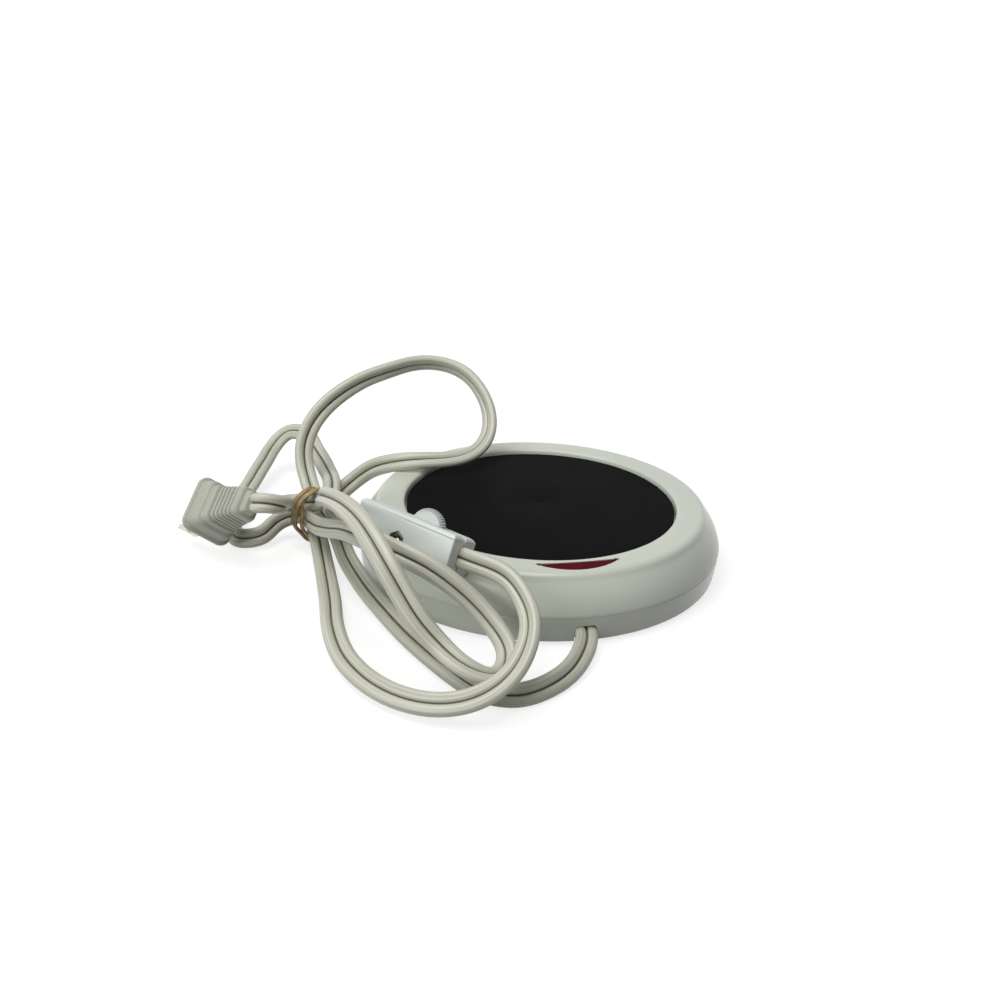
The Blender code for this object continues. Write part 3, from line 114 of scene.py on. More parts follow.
# Roll of the flat cord at each route point, in degrees away from facing the viewer
warmer_roll = (
    0, -4, -10, -16, -18, -14, -10, -5, 0, 0, 0, 0, 0, 0, 0, 8, 18, 27, 18, 8, 8, 5, 10, 18, 27, 35, 42,
    48, 55, 55, 55, 55, 53, 52, 50, 40, 30, 20, 10, 8, 0, 0, -8, -8, 0, 0, 0, 0, 0, 0, 0, -5, -10, -15,
    -18, -20, -22, -33, -38, -42, -39, -34, -22, 0,
)
plug_roll = (
    0, 8, 26, 35, 18, 8, -16, -26, -24, -8, 0, 8, 15, 22, 34, 37, 30, 20, 13, 7, 8, 7, 13, 20, 20, 12, 10,
    0, 0, 0, 0, 0, 0, 0, 0, 0, 0, 7, 13, 28, 38, 47, 50, 44, 40, 28, 18, 8, 0, 0, 0, 0, 0, -8, -18, -27,
    -26, -16, -18, -8, 0, 10, 12, 10, 8, 0, 0,
)

# Frames of the switch and the plug
switch_frame = Matrix.Translation((-0.0548, -0.0416, 0.0293)) @ Euler(
    (math.radians(-29.4), 0, math.radians(-46.5))).to_matrix().to_4x4()
switch_z = switch_frame.to_3x3() @ Vector((0, 0, 1))
plug_z = Vector((0.541, -0.731, 0.417)).normalized()
plug_x = Vector((-0.392, -0.657, -0.644))
plug_x = (plug_x - plug_z * plug_x.dot(plug_z)).normalized()
plug_frame = Matrix.Translation((-0.1224, 0.0194, 0.0168)) @ Matrix(
    (plug_x, plug_z.cross(plug_x), plug_z)).transposed().to_4x4()

# Rubber band: plane and outline of the tie
band_place = Vector((-0.0840, 0.0230, 0.0))
band_normal = Vector((0.6, -0.8, 0.0))
band_along = Vector((0.8, 0.6, 0.0))
band_outline = (
    (-10.3, 11.9), (-10.0, 9.5), (-8.7, 7.3), (-7.4, 5.2), (-6.1, 3.1), (-4.1, 1.5), (-1.7, 1.2),
    (0.7, 1.9), (3.0, 2.9), (5.3, 3.8), (7.6, 4.7), (9.9, 5.7), (12.1, 6.9), (13.4, 9.0), (13.6, 11.5),
    (12.6, 13.7), (10.6, 15.3), (8.5, 16.6), (6.4, 17.9), (4.3, 19.3), (2.2, 20.6), (0.0, 21.9),
    (-2.4, 22.5), (-4.8, 21.9), (-7.1, 20.9), (-8.8, 19.2), (-9.6, 16.9), (-9.9, 14.4),
)


def clear_selection():
    """Nothing selected, in object mode."""
    if bpy.context.object and bpy.context.object.mode != "OBJECT":
        bpy.ops.object.mode_set(mode="OBJECT")
    bpy.ops.object.select_all(action="DESELECT")


def use(obj):
    """Only obj selected and active."""
    clear_selection()
    obj.select_set(True)
    bpy.context.view_layer.objects.active = obj
    return obj


def apply_all(obj):
    """Apply every modifier of obj in turn."""
    use(obj)
    for mod in list(obj.modifiers):
        bpy.ops.object.modifier_apply(modifier=mod.name)
    return obj


def smooth_line(points, per_span):
    """Fine points on an even-bending curve through the route's points, and the route index of each."""
    pts = np.array(points, float)
    step = np.linalg.norm(np.diff(pts, axis=0), axis=1)
    system, pull = np.eye(len(pts)), np.zeros_like(pts)
    for i in range(1, len(pts) - 1):
        system[i, i - 1:i + 2] = step[i - 1], 2 * (step[i - 1] + step[i]), step[i]
        pull[i] = 6 * ((pts[i + 1] - pts[i]) / step[i] - (pts[i] - pts[i - 1]) / step[i - 1])
    bend = np.linalg.solve(system, pull)
    fine, index = [], []
    for i in range(len(pts) - 1):
        for s in np.linspace(0, 1, per_span, endpoint=False):
            u = 1 - s
            bow = step[i] ** 2 / 6 * ((u ** 3 - u) * bend[i] + (s ** 3 - s) * bend[i + 1])
            fine.append(u * pts[i] + s * pts[i + 1] + bow)
            index.append(i + s)
    fine.append(pts[-1])
    index.append(len(pts) - 1)
    return np.array(fine), np.array(index)


def flat_cord_outline():
    """Section of two round cores side by side on a thin web: a narrow tear groove on both faces."""
    outline = []
    for side in (1, -1):
        for k in range(core_points):
            angle = math.radians(core_arc - 2 * core_arc * k / (core_points - 1))
            reach = math.cos(angle)
            reach = reach if reach > 0 else -(-reach) ** 0.6
            outline.append((side * (core_half + core_r * reach), side * core_r * math.sin(angle)))
        outline.append((0.0, -side * web_half))
    return outline


def distances(line):
    """The distance along a line of points at each point."""
    return np.concatenate(([0.0], np.cumsum(np.linalg.norm(np.diff(line, axis=0), axis=1))))


def sweep(name, line, normals, outline, swell=1.0):
    """Closed tube that carries an outline along a line, with length along u and outline along v."""
    line = np.array(line)
    swell = np.broadcast_to(swell, len(line))[:, None, None]
    tangents = np.gradient(line, axis=0)
    tangents /= np.linalg.norm(tangents, axis=1)[:, None]
    across_dir = np.cross(normals, tangents)
    across_dir /= np.linalg.norm(across_dir, axis=1)[:, None]
    normal_dir = np.cross(tangents, across_dir)
    run = distances(line)
    shape = np.array(outline)
    offsets = across_dir[:, None] * shape[None, :, :1] * swell + normal_dir[:, None] * shape[None, :, 1:]
    verts = (line[:, None] + offsets).reshape(-1, 3)
    count, rows = len(shape), len(line)
    faces = []
    for i in range(rows - 1):
        for j in range(count):
            low, high, after = i * count, (i + 1) * count, (j + 1) % count
            faces.append((low + j, low + after, high + after, high + j))
    faces.append(tuple(range(count - 1, -1, -1)))
    faces.append(tuple((rows - 1) * count + j for j in range(count)))
    mesh = bpy.data.meshes.new(name)
    mesh.from_pydata(verts.tolist(), [], faces)
    around = distances(np.vstack([shape, shape[:1]]))
    uv = mesh.uv_layers.new(name="along").data
    n = 0
    for face in faces:
        for k, v in enumerate(face):
            i, j = divmod(v, count)
            wrap = j == 0 and len(face) == 4 and k in (1, 2)
            uv[n].uv = (run[i], around[count if wrap else j])
            n += 1
    obj = bpy.data.objects.new(name, mesh)
    bpy.context.collection.objects.link(obj)
    use(obj)
    bpy.ops.object.mode_set(mode="EDIT")
    bpy.ops.mesh.select_all(action="SELECT")
    bpy.ops.mesh.normals_make_consistent(inside=False)
    bpy.ops.object.mode_set(mode="OBJECT")
    bpy.ops.object.shade_smooth_by_angle(angle=math.radians(50))
    return obj


def even_twist(line, tangents, normals, view, pinned):
    """Turn the normals to the calmest twist that keeps the wished face where the viewer can tell it."""
    step = np.linalg.norm(np.diff(line, axis=0), axis=1)
    base = normals.copy()
    for i in range(1, len(line)):
        base[i] = base[i - 1] - base[i - 1].dot(tangents[i]) * tangents[i]
        base[i] /= np.linalg.norm(base[i])
    aside = np.cross(tangents, base)
    wish = np.unwrap(2 * np.arctan2((normals * aside).sum(1), (normals * base).sum(1))) / 2
    weight = (1 - (view * tangents).sum(1) ** 2) ** 2 * np.gradient(distances(line))
    for i, width_dir in pinned:
        flat = np.cross(tangents[i], np.array(width_dir))
        turn_at = math.atan2(flat.dot(aside[i]), flat.dot(base[i]))
        wish[i] = turn_at + math.pi * round((wish[i] - turn_at) / math.pi)
        weight[i] = pin_weight
    system = np.diag(weight + 1e-9)
    stiff = twist_ease ** 2 / step
    for i, k in enumerate(stiff):
        system[i, i] += k
        system[i + 1, i + 1] += k
        system[i, i + 1] -= k
        system[i + 1, i] -= k
    turn_to = np.linalg.solve(system, weight * wish)[:, None]
    return np.cos(turn_to) * base + np.sin(turn_to) * aside


def lay_cord(name, route, rolls, tight, pins, node):
    """One run of the flat cord on the CAD route: turned by its roll table, pressed narrower in the tie."""
    line, index = smooth_line(np.array(route) * mm, points_per_span)
    tangents = np.gradient(line, axis=0)
    tangents /= np.linalg.norm(tangents, axis=1)[:, None]
    view = np.array(camera.location) - line
    view /= np.linalg.norm(view, axis=1)[:, None]
    facing = view - (view * tangents).sum(1)[:, None] * tangents
    facing /= np.linalg.norm(facing, axis=1)[:, None]
    side = np.cross(tangents, facing)
    angle = np.radians(np.interp(index, range(len(rolls)), rolls))[:, None]
    normals = np.cos(angle) * facing + np.sin(angle) * side
    pinned = [(int(np.argmin(np.abs(index - at))), width_dir) for at, width_dir in pins]
    normals = even_twist(line, tangents, normals, view, pinned)
    outside = [np.maximum(low - index, index - high) / swell_points for low, high in tight]
    free = np.min(np.clip(outside, 0, 1), axis=0)
    obj = sweep(name, line, normals, cord_outline, 1 + free_swell_share * free)
    obj.data.materials.append(cord_vinyl)
    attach(obj, "warmer")
    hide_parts(node)
    return obj, line


def shader(name, colour, rough, metal=0.0, coat=0.0, specular=0.5):
    """Principled material whose finish numbers sit on the shader's own sockets."""
    mat = bpy.data.materials.new(name)
    mat.use_nodes = True
    node = mat.node_tree.nodes["Principled BSDF"]
    node.inputs["Base Color"].default_value = (*colour, 1)
    node.inputs["Roughness"].default_value = rough
    node.inputs["Metallic"].default_value = metal
    node.inputs["Coat Weight"].default_value = coat
    node.inputs["Coat Roughness"].default_value = 0.1
    node.inputs["Specular IOR Level"].default_value = specular
    return mat


def add_node(mat, kind, x, y, **values):
    """A new node with its input or property values set."""
    node = mat.node_tree.nodes.new(kind)
    node.location = (x, y)
    for key, value in values.items():
        if key in node.inputs:
            node.inputs[key].default_value = value
        else:
            setattr(node, key, value)
    return node


def join(mat, out, into):
    """Link one node's output to another's input."""
    mat.node_tree.links.new(out, into)


def mottle(mat, colours, scale, detail=4.0):
    """Slow colour variation between two colours by noise."""
    place = add_node(mat, "ShaderNodeTexCoord", -1000, 0)
    noise = add_node(mat, "ShaderNodeTexNoise", -800, 0, Scale=scale, Detail=detail, Roughness=0.6)
    ramp = add_node(mat, "ShaderNodeValToRGB", -600, 0)
    ramp.color_ramp.elements[0].position = 0.3
    ramp.color_ramp.elements[1].position = 0.7
    ramp.color_ramp.elements[0].color = (*colours[0], 1)
    ramp.color_ramp.elements[1].color = (*colours[1], 1)
    join(mat, place.outputs["Object"], noise.inputs["Vector"])
    join(mat, noise.outputs["Fac"], ramp.inputs["Fac"])
    join(mat, ramp.outputs["Color"], mat.node_tree.nodes["Principled BSDF"].inputs["Base Color"])


def grain(mat, scale, height, strength=0.3):
    """Fine moulded grain as bump."""
    place = add_node(mat, "ShaderNodeTexCoord", -1000, -400)
    noise = add_node(mat, "ShaderNodeTexNoise", -800, -400, Scale=scale, Detail=3.0)
    bump = add_node(mat, "ShaderNodeBump", -400, -400, Strength=strength, Distance=height)
    join(mat, place.outputs["Object"], noise.inputs["Vector"])
    join(mat, noise.outputs["Fac"], bump.inputs["Height"])
    join(mat, bump.outputs["Normal"], mat.node_tree.nodes["Principled BSDF"].inputs["Normal"])


def rough_patches(mat, low, high, scale):
    """Handled, slightly uneven gloss."""
    place = add_node(mat, "ShaderNodeTexCoord", -1000, -800)
    noise = add_node(mat, "ShaderNodeTexNoise", -800, -800, Scale=scale, Detail=4.0)
    span = add_node(mat, "ShaderNodeMapRange", -600, -800)
    span.inputs["To Min"].default_value = low
    span.inputs["To Max"].default_value = high
    join(mat, place.outputs["Object"], noise.inputs["Vector"])
    join(mat, noise.outputs["Fac"], span.inputs["Value"])
    join(mat, span.outputs["Result"], mat.node_tree.nodes["Principled BSDF"].inputs["Roughness"])


# Finishes
housing_gloss = shader("housing_gloss_white", (0.60, 0.635, 0.545), 0.26, coat=0.25, specular=0.4)
mottle(housing_gloss, ((0.585, 0.622, 0.53), (0.605, 0.64, 0.55)), 9, 2.0)
plate_enamel = shader("plate_black_coating", (0.005, 0.005, 0.005), 0.45, specular=0.008)
mottle(plate_enamel, ((0.004, 0.004, 0.0042), (0.0062, 0.006, 0.006)), 30)
grain(plate_enamel, 2600, 0.00003, 0.35)
rough_patches(plate_enamel, 0.40, 0.52, 45)
lens_glaze = shader("window_dark_red", (0.095, 0.005, 0.009), 0.30, specular=0.008)
mottle(lens_glaze, ((0.075, 0.004, 0.007), (0.12, 0.007, 0.012)), 70)
cord_vinyl = shader("cord_vinyl_beige", (0.46, 0.45, 0.38), 0.38)
switch_plastic = shader("switch_pale_plastic", (0.68, 0.73, 0.685), 0.34)
mottle(switch_plastic, ((0.65, 0.70, 0.655), (0.69, 0.74, 0.695)), 40, 2.0)
grain(switch_plastic, 900, 0.00004, 0.10)
wheel_plastic = shader("wheel_pale_plastic", (0.62, 0.66, 0.64), 0.40)
mottle(wheel_plastic, ((0.56, 0.60, 0.58), (0.66, 0.70, 0.68)), 200)
grain(wheel_plastic, 2000, 0.00004, 0.2)
plug_vinyl = shader("plug_vinyl_grey", (0.41, 0.42, 0.355), 0.42)
mottle(plug_vinyl, ((0.38, 0.39, 0.325), (0.43, 0.44, 0.37)), 60)
grain(plug_vinyl, 1200, 0.00006, 0.3)
band_rubber = shader("band_tan_rubber", (0.40, 0.30, 0.13), 0.50)
mottle(band_rubber, ((0.15, 0.10, 0.04), (0.43, 0.32, 0.145)), 420)
grain(band_rubber, 900, 0.0001, 0.5)


def metal(name, dark, light, scale, low, high):
    """Worn metal: two tones, fine scratches as bump, and uneven polish."""
    mat = shader(name, light, (low + high) / 2, metal=1.0)
    mottle(mat, (dark, light), scale)
    grain(mat, 1500, 0.00002, 0.3)
    rough_patches(mat, low, high, scale * 2)
    return mat


def plain(name, dark, light, scale, low, high, grain_at=(1500, 0.00003), specular=0.5):
    """Moulded, woven or fired stuff: two tones, fine grain as bump, and uneven gloss."""
    mat = shader(name, light, (low + high) / 2, specular=specular)
    mottle(mat, (dark, light), scale)
    grain(mat, *grain_at, 0.4)
    rough_patches(mat, low, high, scale * 2)
    return mat


nut_steel = metal("nut_dark_steel", (0.06, 0.055, 0.05), (0.40, 0.37, 0.33), 700, 0.15, 0.35)
zinc_steel = metal("screw_zinc_steel", (0.42, 0.42, 0.40), (0.60, 0.60, 0.58), 600, 0.25, 0.45)
aluminium_sheet = metal("shield_aluminium", (0.62, 0.63, 0.64), (0.78, 0.79, 0.80), 80, 0.30, 0.50)
screw_steel = metal("screw_dark_steel", (0.35, 0.34, 0.32), (0.90, 0.88, 0.84), 900, 0.15, 0.3)
nichrome_tape = metal("element_tape", (0.20, 0.17, 0.15), (0.36, 0.32, 0.29), 300, 0.35, 0.55)
brass_metal = metal("contact_brass", (0.52, 0.36, 0.13), (0.70, 0.52, 0.24), 400, 0.22, 0.42)
blade_plating = metal("blade_plated_brass", (0.62, 0.58, 0.48), (0.74, 0.70, 0.60), 300, 0.25, 0.42)
tinned_copper = metal("terminal_tinned", (0.48, 0.46, 0.43), (0.66, 0.64, 0.60), 700, 0.28, 0.48)
mica_flake = plain("mica_flake", (0.28, 0.20, 0.11), (0.50, 0.40, 0.25), 160, 0.25, 0.5,
                   (500, 0.0001))
pad_fibre = plain("pad_glass_fibre", (0.60, 0.59, 0.55), (0.80, 0.79, 0.75), 500, 0.85, 0.98,
                  (2500, 0.0003), 0.2)
cover_satin = plain("cover_satin_plastic", (0.50, 0.53, 0.50), (0.58, 0.61, 0.58), 40, 0.42, 0.60,
                    (1800, 0.00005))
foot_rubber = plain("foot_grey_rubber", (0.10, 0.10, 0.10), (0.18, 0.18, 0.175), 300, 0.70, 0.88,
                    (2000, 0.00008), 0.3)
sleeve_white = plain("lead_sleeve_white", (0.62, 0.61, 0.57), (0.76, 0.75, 0.71), 300, 0.40, 0.60)
resistor_body = plain("resistor_lacquer_tan", (0.42, 0.30, 0.17), (0.60, 0.46, 0.28), 900, 0.35, 0.50)
lamp_glass = plain("lamp_warm_glass", (0.55, 0.30, 0.20), (0.80, 0.52, 0.38), 900, 0.06, 0.16)

# The cord's vinyl: long fine streaks, and painted shade that darkens the tear groove, both on the cord's own
# UV
cord_outline = flat_cord_outline()
loop = np.array(cord_outline + cord_outline[:1])
around_at = distances(loop)
place = add_node(cord_vinyl, "ShaderNodeTexCoord", -1800, 0)
stretch = add_node(cord_vinyl, "ShaderNodeMapping", -1600, 0)
stretch.inputs["Scale"].default_value = (16, 1500, 1)
streaks = add_node(cord_vinyl, "ShaderNodeTexNoise", -1400, 0, Scale=1.0, Detail=4.0, Roughness=0.6)
tone = add_node(cord_vinyl, "ShaderNodeValToRGB", -1200, 0)
tone.color_ramp.elements[0].position = 0.32
tone.color_ramp.elements[0].color = (0.41, 0.415, 0.335, 1)
tone.color_ramp.elements[1].position = 0.62
tone.color_ramp.elements[1].color = (0.61, 0.61, 0.515, 1)
split = add_node(cord_vinyl, "ShaderNodeSeparateXYZ", -1600, -400)
nearest = add_node(cord_vinyl, "ShaderNodeMath", -1000, -400, operation="MINIMUM")
for k, at in enumerate((around_at[core_points], around_at[2 * core_points + 1])):
    away = add_node(cord_vinyl, "ShaderNodeMath", -1400, -300 - 200 * k, operation="SUBTRACT")
    away.inputs[1].default_value = float(at)
    size = add_node(cord_vinyl, "ShaderNodeMath", -1200, -300 - 200 * k, operation="ABSOLUTE")
    join(cord_vinyl, split.outputs["Y"], away.inputs[0])
    join(cord_vinyl, away.outputs["Value"], size.inputs[0])
    join(cord_vinyl, size.outputs["Value"], nearest.inputs[k])
# Painted shade: the share of dark groove colour, full at the groove's centre line and fading out within 0.75
# mm
groove_shade_share = add_node(cord_vinyl, "ShaderNodeMapRange", -800, -400, interpolation_type="SMOOTHSTEP")
for socket, value in (("From Min", 0.30 * mm), ("From Max", 0.75 * mm), ("To Min", 1.0), ("To Max", 0.0)):
    groove_shade_share.inputs[socket].default_value = value
# Painted shade: mixes the dark groove colour into the vinyl's streaked tone
groove_shade = add_node(cord_vinyl, "ShaderNodeMix", -500, 0, data_type="RGBA")
groove_shade.inputs["B"].default_value = (0.15, 0.15, 0.11, 1)
join(cord_vinyl, place.outputs["UV"], stretch.inputs["Vector"])
join(cord_vinyl, place.outputs["UV"], split.inputs["Vector"])
join(cord_vinyl, stretch.outputs["Vector"], streaks.inputs["Vector"])
join(cord_vinyl, streaks.outputs["Fac"], tone.inputs["Fac"])
join(cord_vinyl, nearest.outputs["Value"], groove_shade_share.inputs["Value"])
join(cord_vinyl, groove_shade_share.outputs["Result"], groove_shade.inputs["Factor"])
join(cord_vinyl, tone.outputs["Color"], groove_shade.inputs["A"])
cord_shader = cord_vinyl.node_tree.nodes["Principled BSDF"]
join(cord_vinyl, groove_shade.outputs["Result"], cord_shader.inputs["Base Color"])
rough_patches(cord_vinyl, 0.34, 0.44, 160)


# Cords: each with the stretches where it is pressed narrower, in the tie and at what it meets, and its pins
warmer_cord, warmer_line = lay_cord(
    "warmer_cord", warmer_route, warmer_roll, ((15, 20), (40, 45), (61, 64)),
    ((0.3, (1, 0, 0)), (62.7, switch_z)), "cord_warmer_side")
plug_cord, plug_line = lay_cord(
    "plug_cord", plug_route, plug_roll, ((0, 8), (26, 34), (53, 60), (64, 67)),
    ((0.3, switch_z), (66.2, plug_x)), "cord_plug_side")


def named(name):
    """Name the primitive just added, with its place and size taken into its mesh."""
    obj = bpy.context.object
    obj.name = name
    obj.data.name = name
    bpy.ops.object.transform_apply(location=True, rotation=True, scale=True)
    return obj


def cylinder(name, radius, low, high, steps, centre=(0, 0)):
    """An upright cylinder between two heights."""
    clear_selection()
    bpy.ops.mesh.primitive_cylinder_add(vertices=steps, radius=radius, depth=high - low,
                                        location=(centre[0], centre[1], (low + high) / 2))
    return named(name)


def block(name, lows, highs):
    """A box between its lowest and its highest corner."""
    clear_selection()
    middle = [(a + b) / 2 for a, b in zip(lows, highs)]
    bpy.ops.mesh.primitive_cube_add(size=1, location=middle, scale=[b - a for a, b in zip(lows, highs)])
    return named(name)


def choose(obj, kind, test):
    """In edit mode, select the verts, edges or faces whose points all pass the test."""
    use(obj)
    bpy.ops.object.mode_set(mode="EDIT")
    bpy.ops.mesh.select_mode(type=kind)
    bpy.ops.mesh.select_all(action="DESELECT")
    bm = bmesh.from_edit_mesh(obj.data)
    parts = {"VERT": bm.verts, "EDGE": bm.edges, "FACE": bm.faces}[kind]
    for part in parts:
        points = [part.co] if kind == "VERT" else [v.co for v in part.verts]
        part.select = all(test(p) for p in points)
    bm.select_flush_mode()
    bmesh.update_edit_mesh(obj.data)
    return obj


def done(obj, angle=35):
    """Back to object mode, faces outwards, smooth where the form is smooth."""
    use(obj)
    bpy.ops.object.mode_set(mode="EDIT")
    bpy.ops.mesh.select_all(action="SELECT")
    bpy.ops.mesh.normals_make_consistent(inside=False)
    bpy.ops.object.mode_set(mode="OBJECT")
    bpy.ops.object.shade_smooth_by_angle(angle=math.radians(angle))
    return obj


def round_edges(obj, test, width, segments):
    """Bevel the edges whose points pass the test."""
    choose(obj, "EDGE", test)
    bpy.ops.mesh.bevel(offset=width, offset_type="OFFSET", segments=segments, profile=0.5, affect="EDGES")
    bpy.ops.object.mode_set(mode="OBJECT")
    return obj


def turned(name, rings, steps, closed=False):
    """A turned form: a circle extruded and resized from ring to ring, each ring (radius, height) in mm."""
    clear_selection()
    radius, height = rings[0]
    bpy.ops.mesh.primitive_circle_add(vertices=steps, radius=radius * mm, location=(0, 0, height * mm),
                                      fill_type="NOTHING" if closed else "NGON")
    obj = named(name)
    bpy.ops.object.mode_set(mode="EDIT")
    bpy.ops.mesh.select_all(action="SELECT")
    for new_radius, new_height in list(rings[1:]) + ([rings[0]] if closed else []):
        rise = (new_height - height) * mm
        bpy.ops.mesh.extrude_region_move(TRANSFORM_OT_translate={"value": (0, 0, rise)})
        share = new_radius / radius
        if abs(share - 1) > 1e-9:
            bpy.ops.transform.resize(value=(share, share, 1), center_override=(0, 0, new_height * mm))
        radius, height = new_radius, new_height
    bpy.ops.mesh.select_all(action="SELECT")
    bpy.ops.mesh.remove_doubles(threshold=1e-7)
    return done(obj)


def stacked(name, corner, levels):
    """A rounded rectangle extruded and resized from level to level, each (half x, half y, height) in mm."""
    half_x, half_y, height = levels[0]
    clear_selection()
    bpy.ops.mesh.primitive_plane_add(size=1, location=(0, 0, height * mm))
    obj = bpy.context.object
    obj.scale = (2 * half_x * mm, 2 * half_y * mm, 1)
    named(name)
    bpy.ops.object.mode_set(mode="EDIT")
    bpy.ops.mesh.select_all(action="SELECT")
    bpy.ops.mesh.bevel(offset=corner * mm, offset_type="OFFSET", segments=6, affect="VERTICES")
    bpy.ops.mesh.select_all(action="SELECT")
    for new_x, new_y, new_height in levels[1:]:
        rise = (new_height - height) * mm
        bpy.ops.mesh.extrude_region_move(TRANSFORM_OT_translate={"value": (0, 0, rise)})
        bpy.ops.transform.resize(value=(new_x / half_x, new_y / half_y, 1),
                                 center_override=(0, 0, new_height * mm))
        half_x, half_y, height = new_x, new_y, new_height
    return done(obj)


def cut(obj, *tools, how="DIFFERENCE"):
    """Take the tools away from obj, or join them to it, and remove them."""
    for tool in tools:
        mod = obj.modifiers.new("cut", "BOOLEAN")
        mod.operation = how
        mod.solver = "EXACT"
        mod.object = tool
        apply_all(obj)
        bpy.data.objects.remove(tool)
    return obj


def seat(obj, matrix):
    """Put a piece made in its own frame into the part's frame."""
    obj.matrix_world = matrix
    use(obj)
    bpy.ops.object.transform_apply(location=True, rotation=True, scale=True)
    return obj


def dress(obj, finish, slot, *replaced, body="warmer"):
    """Give a piece its finish and body, and hide the CAD nodes that it stands for; slot is not used."""
    obj.data.materials.clear()
    obj.data.materials.append(finish)
    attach(obj, body)
    if replaced:
        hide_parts(*replaced)
    return obj


# Housing: one turned shell with a soft shoulder, the window opening and the cord's notch. Its side starts
# at a radius and a height, leans in and bows in over its rise
side_r, side_low, side_rise = 70.0, 10.9, 10.7
side_lean, side_bow, side_steps = 2.218, 3.6, 14
side = [(side_r - side_lean * k / side_steps - side_bow * (k / side_steps) ** 2,
         side_low + side_rise * k / side_steps) for k in range(1, side_steps)]
housing = turned("housing_shell", [
    (66.8, 1.2), (68.5, 1.2), (68.8, 1.28), (68.97, 1.5), (69.05, 1.9), (69.3, 4.0), (69.55, 6.5),
    (69.8, 8.8), (69.86, 9.9), (69.88, 10.15), (69.72, 10.3), (69.72, 10.5), (69.94, 10.65), (69.98, 10.9),
    *side, (64.08, 21.75), (63.8, 22.3), (63.45, 22.85), (63.05, 23.3), (62.55, 23.66), (61.95, 23.88),
    (61.3, 23.98), (60.4, 24.01), (56.0, 24.03), (54.0, 24.0), (53.3, 23.93), (52.8, 23.76), (52.5, 23.5),
    (52.36, 23.15), (52.25, 22.6), (52.1, 21.8), (52.0, 20.5), (49.0, 20.5), (49.0, 18.7), (53.7, 18.7),
    (54.2, 21.6), (61.25, 21.6), (61.8, 20.8), (67.8, 11.3), (67.8, 10.1)], steps=256, closed=True)

# Window: radius and place of its round edge, of the far larger round, and of its blunt ends
window_r, window_y = 21.0, -39.5
far_r, far_y = 171.1, 116.15
end_r, end_x, end_y = 0.75, 13.6, -54.8


def crescent_block(name, grow, low, high, blunt=False):
    """The window's form: a round block less a far larger one, with its thin ends made blunt."""
    low, high = low * mm, high * mm
    body = cylinder(name, (window_r + grow) * mm, low, high, 160, (0, window_y * mm))
    cut(body, cylinder("far_round", (far_r - grow) * mm, low - mm, high + mm, 720, (0, far_y * mm)))
    if not blunt:
        return body
    ends = [cylinder("blunt_end", (end_r + grow) * mm, low, high, 40, (x * mm, end_y * mm))
            for x in (-end_x, end_x)]
    return cut(body, *ends, how="UNION")


notch_half, notch_top, notch_round = 3.75, 7.3, 1.4
notch = block("notch", (-notch_half * mm, -72 * mm, -1 * mm), (notch_half * mm, -64 * mm, notch_top * mm))
round_edges(notch, lambda p: p.z > 7 * mm and abs(p.x) > 3 * mm, notch_round * mm, 5)
cut(housing, crescent_block("window", 0.1, 19, 26, blunt=True), notch)
done(housing, 32)

# Hot plate: pressed disc with a rolled edge and a faint centre mark
plate = turned("hot_plate", [
    (51.2, 20.8), (51.5, 20.86), (51.66, 21.05), (51.7, 21.4), (51.7, 21.9), (51.66, 22.12), (51.52, 22.28),
    (51.3, 22.37), (51.0, 22.4), (46.0, 22.41), (20.0, 22.41), (1.9, 22.4), (1.5, 22.36), (1.1, 22.26),
    (0.6, 22.2), (0.2, 22.19)], steps=192)

# Window lens: the red crescent on a wider flange below the rim
lens = crescent_block("window_lens", -0.22, 20.9, 23.9, blunt=True)
cut(lens, crescent_block("lens_flange", 0.9, 19.9, 21.1), how="UNION")
done(lens, 40)

# In-line switch: two shells with a parting line, cord ways, wheel slot and nut pocket. Wheel and screw each
# have a place, the shells a half length, a half depth, the gap between them and their roundings
along_y = Matrix.Rotation(math.pi / 2, 4, "X")
wheel_x, wheel_z = 4.4, 5.0
screw_x, screw_z = -1.8, -1.5
half_long, half_deep, joint_gap = 20.5, 6.6, 0.15
shell_low, shell_high = -8.4, 9.4
end_round, face_round = 2.0, 0.9

# A point and the normal of each plane that slopes the shells
slopes = (((0, 0, 7.95), (0.0538, 0, 0.9986)), ((6.0, 0, -8.32), (0.135, 0, -0.991)),
          ((-6.0, 0, -8.32), (-0.135, 0, -0.991)))

# Hollow, cord way, wheel slot, and the holes of the screw, the axle, the nut and the screw's head. The cord
# way's block stays a little inside its round rods, because faces that only touch spoil a cut
hollow_long, hollow_tall, hollow_deep, past_joint = 18.6, 4.6, 5.0, 0.5
way_r, way_z, way_in, way_out, overrun = 1.9, 1.95, 15, 22, 0.3
tangent_gap = 0.03
way_flat = way_r - tangent_gap
slot_r, slot_half = 7.9, 2.1
shank_way_r, axle_way_r, axle_half = 1.6, 1.45, 4.5
nut_pocket_r, nut_pocket_deep = 3.5, -4.2
head_pocket_r, head_pocket_deep = 2.7, 4.6
past_face = 8


def depth_rod(name, radius, low, high, x, z, steps=48):
    """A round rod along the switch's depth, between two depths."""
    rod = cylinder(name, radius * mm, low * mm, high * mm, steps)
    return seat(rod, Matrix.Translation((x * mm, 0, z * mm)) @ Matrix.Rotation(-math.pi / 2, 4, "X"))


